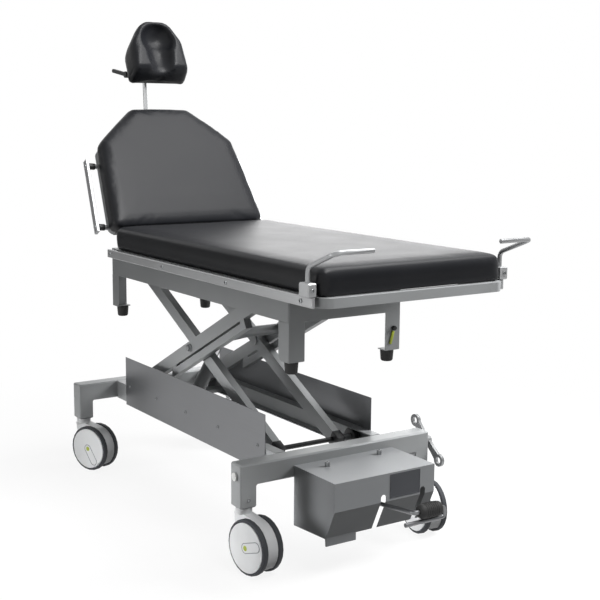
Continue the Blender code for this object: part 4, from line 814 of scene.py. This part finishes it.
class TABLE_OT_bolts(bpy.types.Operator):
    """Bolts the scissor's middle, the pump's cover, the legs and the handle clamps"""
    bl_idname = "treatment_table.bolts"
    bl_label = "Bolts"

    def execute(self, context):
        cross = Vector(JOINTS["scissor_cross"]["pos_m"])
        master = bolt_head("pivot_bolt_master", sizes().pivot_bolt)
        places = []
        for side, sign in SIDES.items():
            spots = [v.co.y for v in NODES["outer_arm_" + side].data.vertices
                     if (v.co - Vector((cross.x, v.co.y, cross.z))).length < PIVOT_NEAR]
            y = (max(spots) if sign > 0 else min(spots)) - sign * BOLT_SUNK
            places.append(facing((cross.x, y, cross.z), (0, sign, 0), PIVOT_TURN))
        settle(copies(master, places, "scissor_bolts"), "outer_arms", "chrome", "zinc")
        drop(master)

        low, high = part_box("pump_cover")
        master = screw_head("cover_bolt_master", sizes().cover_bolt, COVER_BOLT_TALL)
        spots = ((low.x + COVER_BOLT_LEFT[0], low.y + COVER_BOLT_LEFT[1]),
                 (low.x + COVER_BOLT_RIGHT[0], high.y - COVER_BOLT_RIGHT[1]))
        places = [facing((x, y, high.z - BOLT_SUNK), (0, 0, 1)) for x, y in spots]
        settle(copies(master, places, "pump_cover_bolts"), "base", "chrome", "zinc")
        drop(master)

        master = screw_head("leg_screw_master", sizes().leg_screw)
        places = []
        for beam, sign in (("foot_beam", 1), ("head_beam", -1)):
            low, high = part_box(beam)
            x = (high.x if sign > 0 else low.x) - sign * HEAD_SUNK
            places += [facing((x, y, LEG_SCREW_HEIGHT), (sign, 0, 0))
                       for y in (low.y + LEG_SCREW_IN, high.y - LEG_SCREW_IN)]
        settle(copies(master, places, "leg_screws"), "base", "chrome", "zinc")
        places = []
        for side in SIDES:
            low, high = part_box("handle_clamp_" + side)
            spot = (high.x - HEAD_SUNK, (low.y + high.y) / 2, (low.z + high.z) / 2)
            places.append(facing(spot, (1, 0, 0)))
        settle(copies(master, places, "handle_clamp_screws"), "table_top", "chrome", "zinc")
        drop(master)
        return {"FINISHED"}


# Trim
ARM_CAP = (0.034, 0.0266, 0.043)    # along the arm, across it and over its height
ARM_CAP_PAST, ARM_CAP_ROUND = 0.006, 0.0009    # its middle is past the axle
ARM_MIDDLE = 0.012    # from the arm's inner face
BLANK = (0.0012, 0.100, 0.064)    # the cover's blank plate
BLANK_OUT, BLANK_IN, BLANK_DOWN = 0.0004, 0.100, 0.037    # of its middle, from the box's corner
BLANK_STEPS = ((0.0018, 0.0), (0.0006, -0.0004))
BOSS_REACH, BOSS_FOOT, BOSS_TOP, BOSS_ROUND = 0.0065, -0.001, 0.009, 0.0016
EARTH_RISE = 0.065    # over the rubber foot's middle
EARTH_RAY = 0.3    # out from the foot, where the search for the leg's face starts
BOSS_FROM_EARTH = Vector((0.0, 0.002, 0.014))
TAG = (0.0030, 0.0085, 0.038)
TAG_FROM_EARTH = Vector((0.0010, -0.004, -0.012))
TAG_END_ROUND, TAG_ROUND = 0.0030, 0.0004
TAG_LEAN = math.radians(-16)


class TABLE_OT_trim(bpy.types.Operator):
    """Caps the inner arms' lower ends and puts a blank plate on the pump's cover"""
    bl_idname = "treatment_table.trim"
    bl_label = "Caps and plate"

    def execute(self, context):
        cross = Vector(JOINTS["scissor_cross"]["pos_m"])
        for side, sign in SIDES.items():
            axle = Vector(JOINTS["lower_roller_%s_spin" % side]["pos_m"])
            turn = math.atan2(cross.z - axle.z, axle.x - cross.x)
            low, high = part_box("inner_arm_" + side)
            y = (low.y if sign > 0 else high.y) + sign * ARM_MIDDLE
            cap = start(bpy.ops.mesh.primitive_cube_add, "inner_arm_%s_cap" % side, size=1,
                        scale=ARM_CAP, location=(ARM_CAP_PAST, 0, 0))
            rounded(cap, everywhere, ARM_CAP_ROUND, 2)
            smooth(cap)
            cap.data.transform(Matrix.Translation((axle.x, y, axle.z))
                               @ Matrix.Rotation(turn, 4, "Y"))
            settle(cap, "inner_arms", "black")
        low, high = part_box("pump_cover")
        plate = start(bpy.ops.mesh.primitive_cube_add, "pump_cover_plate", size=1, scale=BLANK,
                      location=(high.x + BLANK_OUT, high.y - BLANK_IN, high.z - BLANK_DOWN))
        stepped(plate, lambda at, way: way.x > 0.9, BLANK_STEPS)
        smooth(plate)
        settle(plate, "base", "black", "plate")
        return {"FINISHED"}


class TABLE_OT_earth_tag(bpy.types.Operator):
    """Puts the earthing boss and its tag on the far leg at the foot end"""
    bl_idname = "treatment_table.earth_tag"
    bl_label = "Earth tag"

    def execute(self, context):
        foot = middle("rubber_foot_foot_right")
        mesh = NODES["lift_end_foot"].data
        tree = BVHTree.FromPolygons([v.co for v in mesh.vertices],
                                    [p.vertices for p in mesh.polygons])
        at = tree.ray_cast((foot.x + EARTH_RAY, foot.y, foot.z + EARTH_RISE), (-1, 0, 0))[0]
        if at is None:
            raise RuntimeError("no leg beside the rubber foot")
        boss = stub("earth_boss", BOSS_REACH, BOSS_FOOT, BOSS_TOP)
        rounded(boss, upward, BOSS_ROUND, 3)
        smooth(boss)
        boss.data.transform(facing(at + BOSS_FROM_EARTH, (1, 0, 0)))
        settle(boss, "table_top", "black")
        tag = start(bpy.ops.mesh.primitive_cube_add, "earth_tag", size=1, scale=TAG)
        rounded(tag, lambda at, way: abs(at.z) > 0.01 and abs(way.x) > 0.001, TAG_END_ROUND, 4,
                "EDGE")
        rounded(tag, everywhere, TAG_ROUND, 2)
        smooth(tag)
        tag.data.transform(Matrix.Translation(at + TAG_FROM_EARTH)
                           @ Matrix.Rotation(TAG_LEAN, 4, "X"))
        settle(tag, "table_top", "plastic", "dot")
        return {"FINISHED"}


# Pedals
TREADS = 7
TREAD_END = 0.018    # from the pad's end to the first tread
TREAD_THICK, TREAD_SUNK, TREAD_WIDEN = 0.0011, 0.0002, 1.5
TREAD_SMOOTH_UNDER = 60
PLUG_REACH, PLUG_FOOT, PLUG_TOP, PLUG_ROUND = 0.0115, -0.0038, 0.0012, 0.0013


class TABLE_OT_pedal_ribs(bpy.types.Operator):
    """Puts treads on the pedal's pad and a plug on the brake shaft's end"""
    bl_idname = "treatment_table.pedal_ribs"
    bl_label = "Pedal treads and plug"

    def execute(self, context):
        low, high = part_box("pedal_pad")
        hub = (low + high) / 2
        ring = start(bpy.ops.mesh.primitive_torus_add, "ring_master", major_segments=40,
                     minor_segments=10, major_radius=(high.z - low.z) / 2 - TREAD_SUNK,
                     minor_radius=TREAD_THICK)
        ring.data.transform(Matrix.Diagonal((1, 1, TREAD_WIDEN, 1)))
        smooth(ring, TREAD_SMOOTH_UNDER)
        pitch = (high.y - low.y - 2 * TREAD_END) / (TREADS - 1)
        places = [facing((hub.x, low.y + TREAD_END + pitch * k, hub.z), (0, 1, 0))
                  for k in range(TREADS)]
        settle(copies(ring, places, "pedal_treads"), "pedal", "rubber")
        drop(ring)
        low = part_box("brake_pedal")[0]
        hub = Vector(JOINTS["brake_turn"]["pos_m"])
        plug = stub("brake_shaft_plug", PLUG_REACH, PLUG_FOOT, PLUG_TOP, 40)
        rounded(plug, upward, PLUG_ROUND, 3)
        smooth(plug)
        plug.data.transform(facing((hub.x, low.y, hub.z), (0, -1, 0)))
        settle(plug, "brake", "plastic", "plug")
        return {"FINISHED"}


# Stage
CAMERA_AT = Vector((2.991, -1.763, 1.178))
CAMERA_TO = Vector((0.431, -0.057, 0.684))
CAMERA_ROLL = math.radians(0.451)
CAMERA_LENS, CAMERA_SENSOR = 68.45, 36
DESIGN_SHIFT = Vector((-0.10354, -0.00493, 0.0))    # from the camera fit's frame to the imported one
TABLE_AT = (0.1, 0.0, 0.6)
# Name, place, aim, size in metres, watts, spread in degrees and whether it shows in reflections
LAMPS = (("overhead", (0.7, 1.0, 3.2), TABLE_AT, 2.2, 66, 180, True),
         ("front_top", (1.95, 0.2, 3.4), TABLE_AT, 1.4, 84, 180, True),
         ("right_top", (1.2, 2.8, 2.1), TABLE_AT, 1.6, 170, 180, False),
         ("left", (-1.6, -3.4, 0.5), TABLE_AT, 1.0, 16, 180, True),
         ("base_kicker", (-0.4, -1.6, 0.14), (0.0, -0.3, -0.15), 0.7, 5.5, 58, False),
         ("rear_sheen", (-3.0, 2.2, 1.5), TABLE_AT, 2.4, 26, 180, True))
CARDS = (("left_card", (-2.5, -1.5), 2.6), ("front_card", (2.75, 1.3), 1.8))
CARD_TALL, CARD_AT, CARD_GREY = 1.5, 0.78, 0.20
FLOOR_SIZE, FLOOR_AT = 30, -0.0005
FLOOR_DARK, FLOOR_PALE = 0.06, 0.90    # to bounced light, and to the eye
FLOOR_NEAR, FLOOR_FAR, FLOOR_GLOW = 0.7, 1.9, 0.88    # metres over which the shadow fades to white
WORLD_DIM, WORLD_WHITE = 0.12, 1.0    # to bounced light, and to the eye
WHITE = (1, 1, 1, 1)


def seen(tree):
    """One for rays from the camera, straight or by gloss or glass, and nought for others."""
    path = put(tree, "ShaderNodeLightPath")
    gloss = put(tree, "ShaderNodeMath", [(0, path.outputs["Is Camera Ray"]),
                                         (1, path.outputs["Is Glossy Ray"])], operation="MAXIMUM")
    glass = put(tree, "ShaderNodeMath", [(0, gloss.outputs[0]),
                                         (1, path.outputs["Is Transmission Ray"])],
                operation="MAXIMUM")
    return glass.outputs[0]


class TABLE_OT_stage(bpy.types.Operator):
    """Sets the floor, the grey cards, the soft lights and the camera"""
    bl_idname = "treatment_table.stage"
    bl_label = "Stage"

    def floor(self):
        floor = start(bpy.ops.mesh.primitive_plane_add, "floor", size=FLOOR_SIZE,
                      location=(0, 0, FLOOR_AT))
        mat, tree = bare("pale_floor")
        eye = seen(tree)
        tone = put(tree, "ShaderNodeMapRange", [("Value", eye)], To_Min=FLOOR_DARK,
                   To_Max=FLOOR_PALE)
        matt = put(tree, "ShaderNodeBsdfDiffuse", [("Color", tone.outputs[0])])
        white = put(tree, "ShaderNodeEmission", Color=WHITE, Strength=1.0)
        place = put(tree, "ShaderNodeTexCoord").outputs["Object"]
        away = put(tree, "ShaderNodeVectorMath", [(0, place)], operation="LENGTH")
        fade = put(tree, "ShaderNodeMapRange", [("Value", away.outputs["Value"])],
                   From_Min=FLOOR_NEAR, From_Max=FLOOR_FAR, To_Min=FLOOR_GLOW, To_Max=1.0)
        share = put(tree, "ShaderNodeMath", [(0, eye), (1, fade.outputs[0])], operation="MULTIPLY")
        both = put(tree, "ShaderNodeMixShader", [("Fac", share.outputs[0]), (1, matt.outputs[0]),
                                                 (2, white.outputs[0])])
        put(tree, "ShaderNodeOutputMaterial", [("Surface", both.outputs[0])])
        floor.data.materials.append(mat)

    def cards(self):
        mat, tree = bare("grey_card")
        matt = put(tree, "ShaderNodeBsdfDiffuse", Color=(CARD_GREY, CARD_GREY, CARD_GREY, 1))
        put(tree, "ShaderNodeOutputMaterial", [("Surface", matt.outputs[0])])
        for name, (x, y), wide in CARDS:
            card = start(bpy.ops.mesh.primitive_plane_add, name, size=1)
            card.data.transform(Matrix.Diagonal((wide, CARD_TALL, 1, 1)))
            card.data.transform(facing((x, y, CARD_AT), (-x, -y, 0)))
            card.visible_camera = False
            card.data.materials.append(mat)

    def world(self, scene):
        scene.world = bpy.data.worlds.new("studio")
        scene.world.use_nodes = True
        tree = scene.world.node_tree
        tree.nodes.clear()
        level = put(tree, "ShaderNodeMapRange", [("Value", seen(tree))], To_Min=WORLD_DIM,
                    To_Max=WORLD_WHITE)
        sky = put(tree, "ShaderNodeBackground", [("Strength", level.outputs[0])], Color=WHITE)
        put(tree, "ShaderNodeOutputWorld", [("Surface", sky.outputs[0])])

    def lamps(self, context):
        for name, at, aim, size, power, spread, shiny in LAMPS:
            clear_selection()
            bpy.ops.object.light_add(type="AREA", location=at)
            lamp = context.object
            lamp.name = name
            lamp.data.shape = "DISK"
            lamp.data.size = size
            lamp.data.energy = power
            lamp.data.spread = math.radians(spread)
            lamp.visible_glossy = shiny
            look = Vector(aim) - Vector(at)
            lamp.rotation_euler = look.to_track_quat("-Z", "Y").to_euler()

    def camera(self, context):
        clear_selection()
        bpy.ops.object.camera_add(location=CAMERA_AT + DESIGN_SHIFT)
        camera = context.object
        look = (CAMERA_TO - CAMERA_AT).to_track_quat("-Z", "Y").to_matrix()
        camera.rotation_euler = (look @ Matrix.Rotation(CAMERA_ROLL, 3, "Z")).to_euler()
        camera.data.lens = CAMERA_LENS
        camera.data.sensor_width = CAMERA_SENSOR
        context.scene.camera = camera

    def execute(self, context):
        context.scene.view_settings.view_transform = "Standard"
        self.floor()
        self.cards()
        self.world(context.scene)
        self.lamps(context)
        self.camera(context)
        return {"FINISHED"}


# Panel and registration
OPERATORS = (TABLE_OT_stage, TABLE_OT_metalwork, TABLE_OT_seat, TABLE_OT_back, TABLE_OT_head,
             TABLE_OT_wheel_discs, TABLE_OT_plate_screws, TABLE_OT_rail_screws, TABLE_OT_bolts,
             TABLE_OT_trim, TABLE_OT_earth_tag, TABLE_OT_pedal_ribs)


class TABLE_PT_looks(bpy.types.Panel):
    """Lists the table's pieces"""
    bl_idname = "TABLE_PT_looks"
    bl_label = "Treatment table"
    bl_space_type = "VIEW_3D"
    bl_region_type = "UI"
    bl_category = "Table"

    def draw(self, context):
        for operator in OPERATORS:
            self.layout.operator(operator.bl_idname)
        for group in (context.scene.table_colours, context.scene.table_sizes):
            for key in group.__annotations__:
                self.layout.prop(group, key)


CLASSES = (TableColours, TableSizes, *OPERATORS, TABLE_PT_looks)


def register():
    for cls in CLASSES:
        bpy.utils.register_class(cls)
    bpy.types.Scene.table_colours = PointerProperty(type=TableColours)
    bpy.types.Scene.table_sizes = PointerProperty(type=TableSizes)


def unregister():
    del bpy.types.Scene.table_sizes
    del bpy.types.Scene.table_colours
    for cls in reversed(CLASSES):
        bpy.utils.unregister_class(cls)


def main():
    register()
    for operator in OPERATORS:
        group, name = operator.bl_idname.split(".")
        getattr(getattr(bpy.ops, group), name)()


if __name__ == "__main__":
    main()
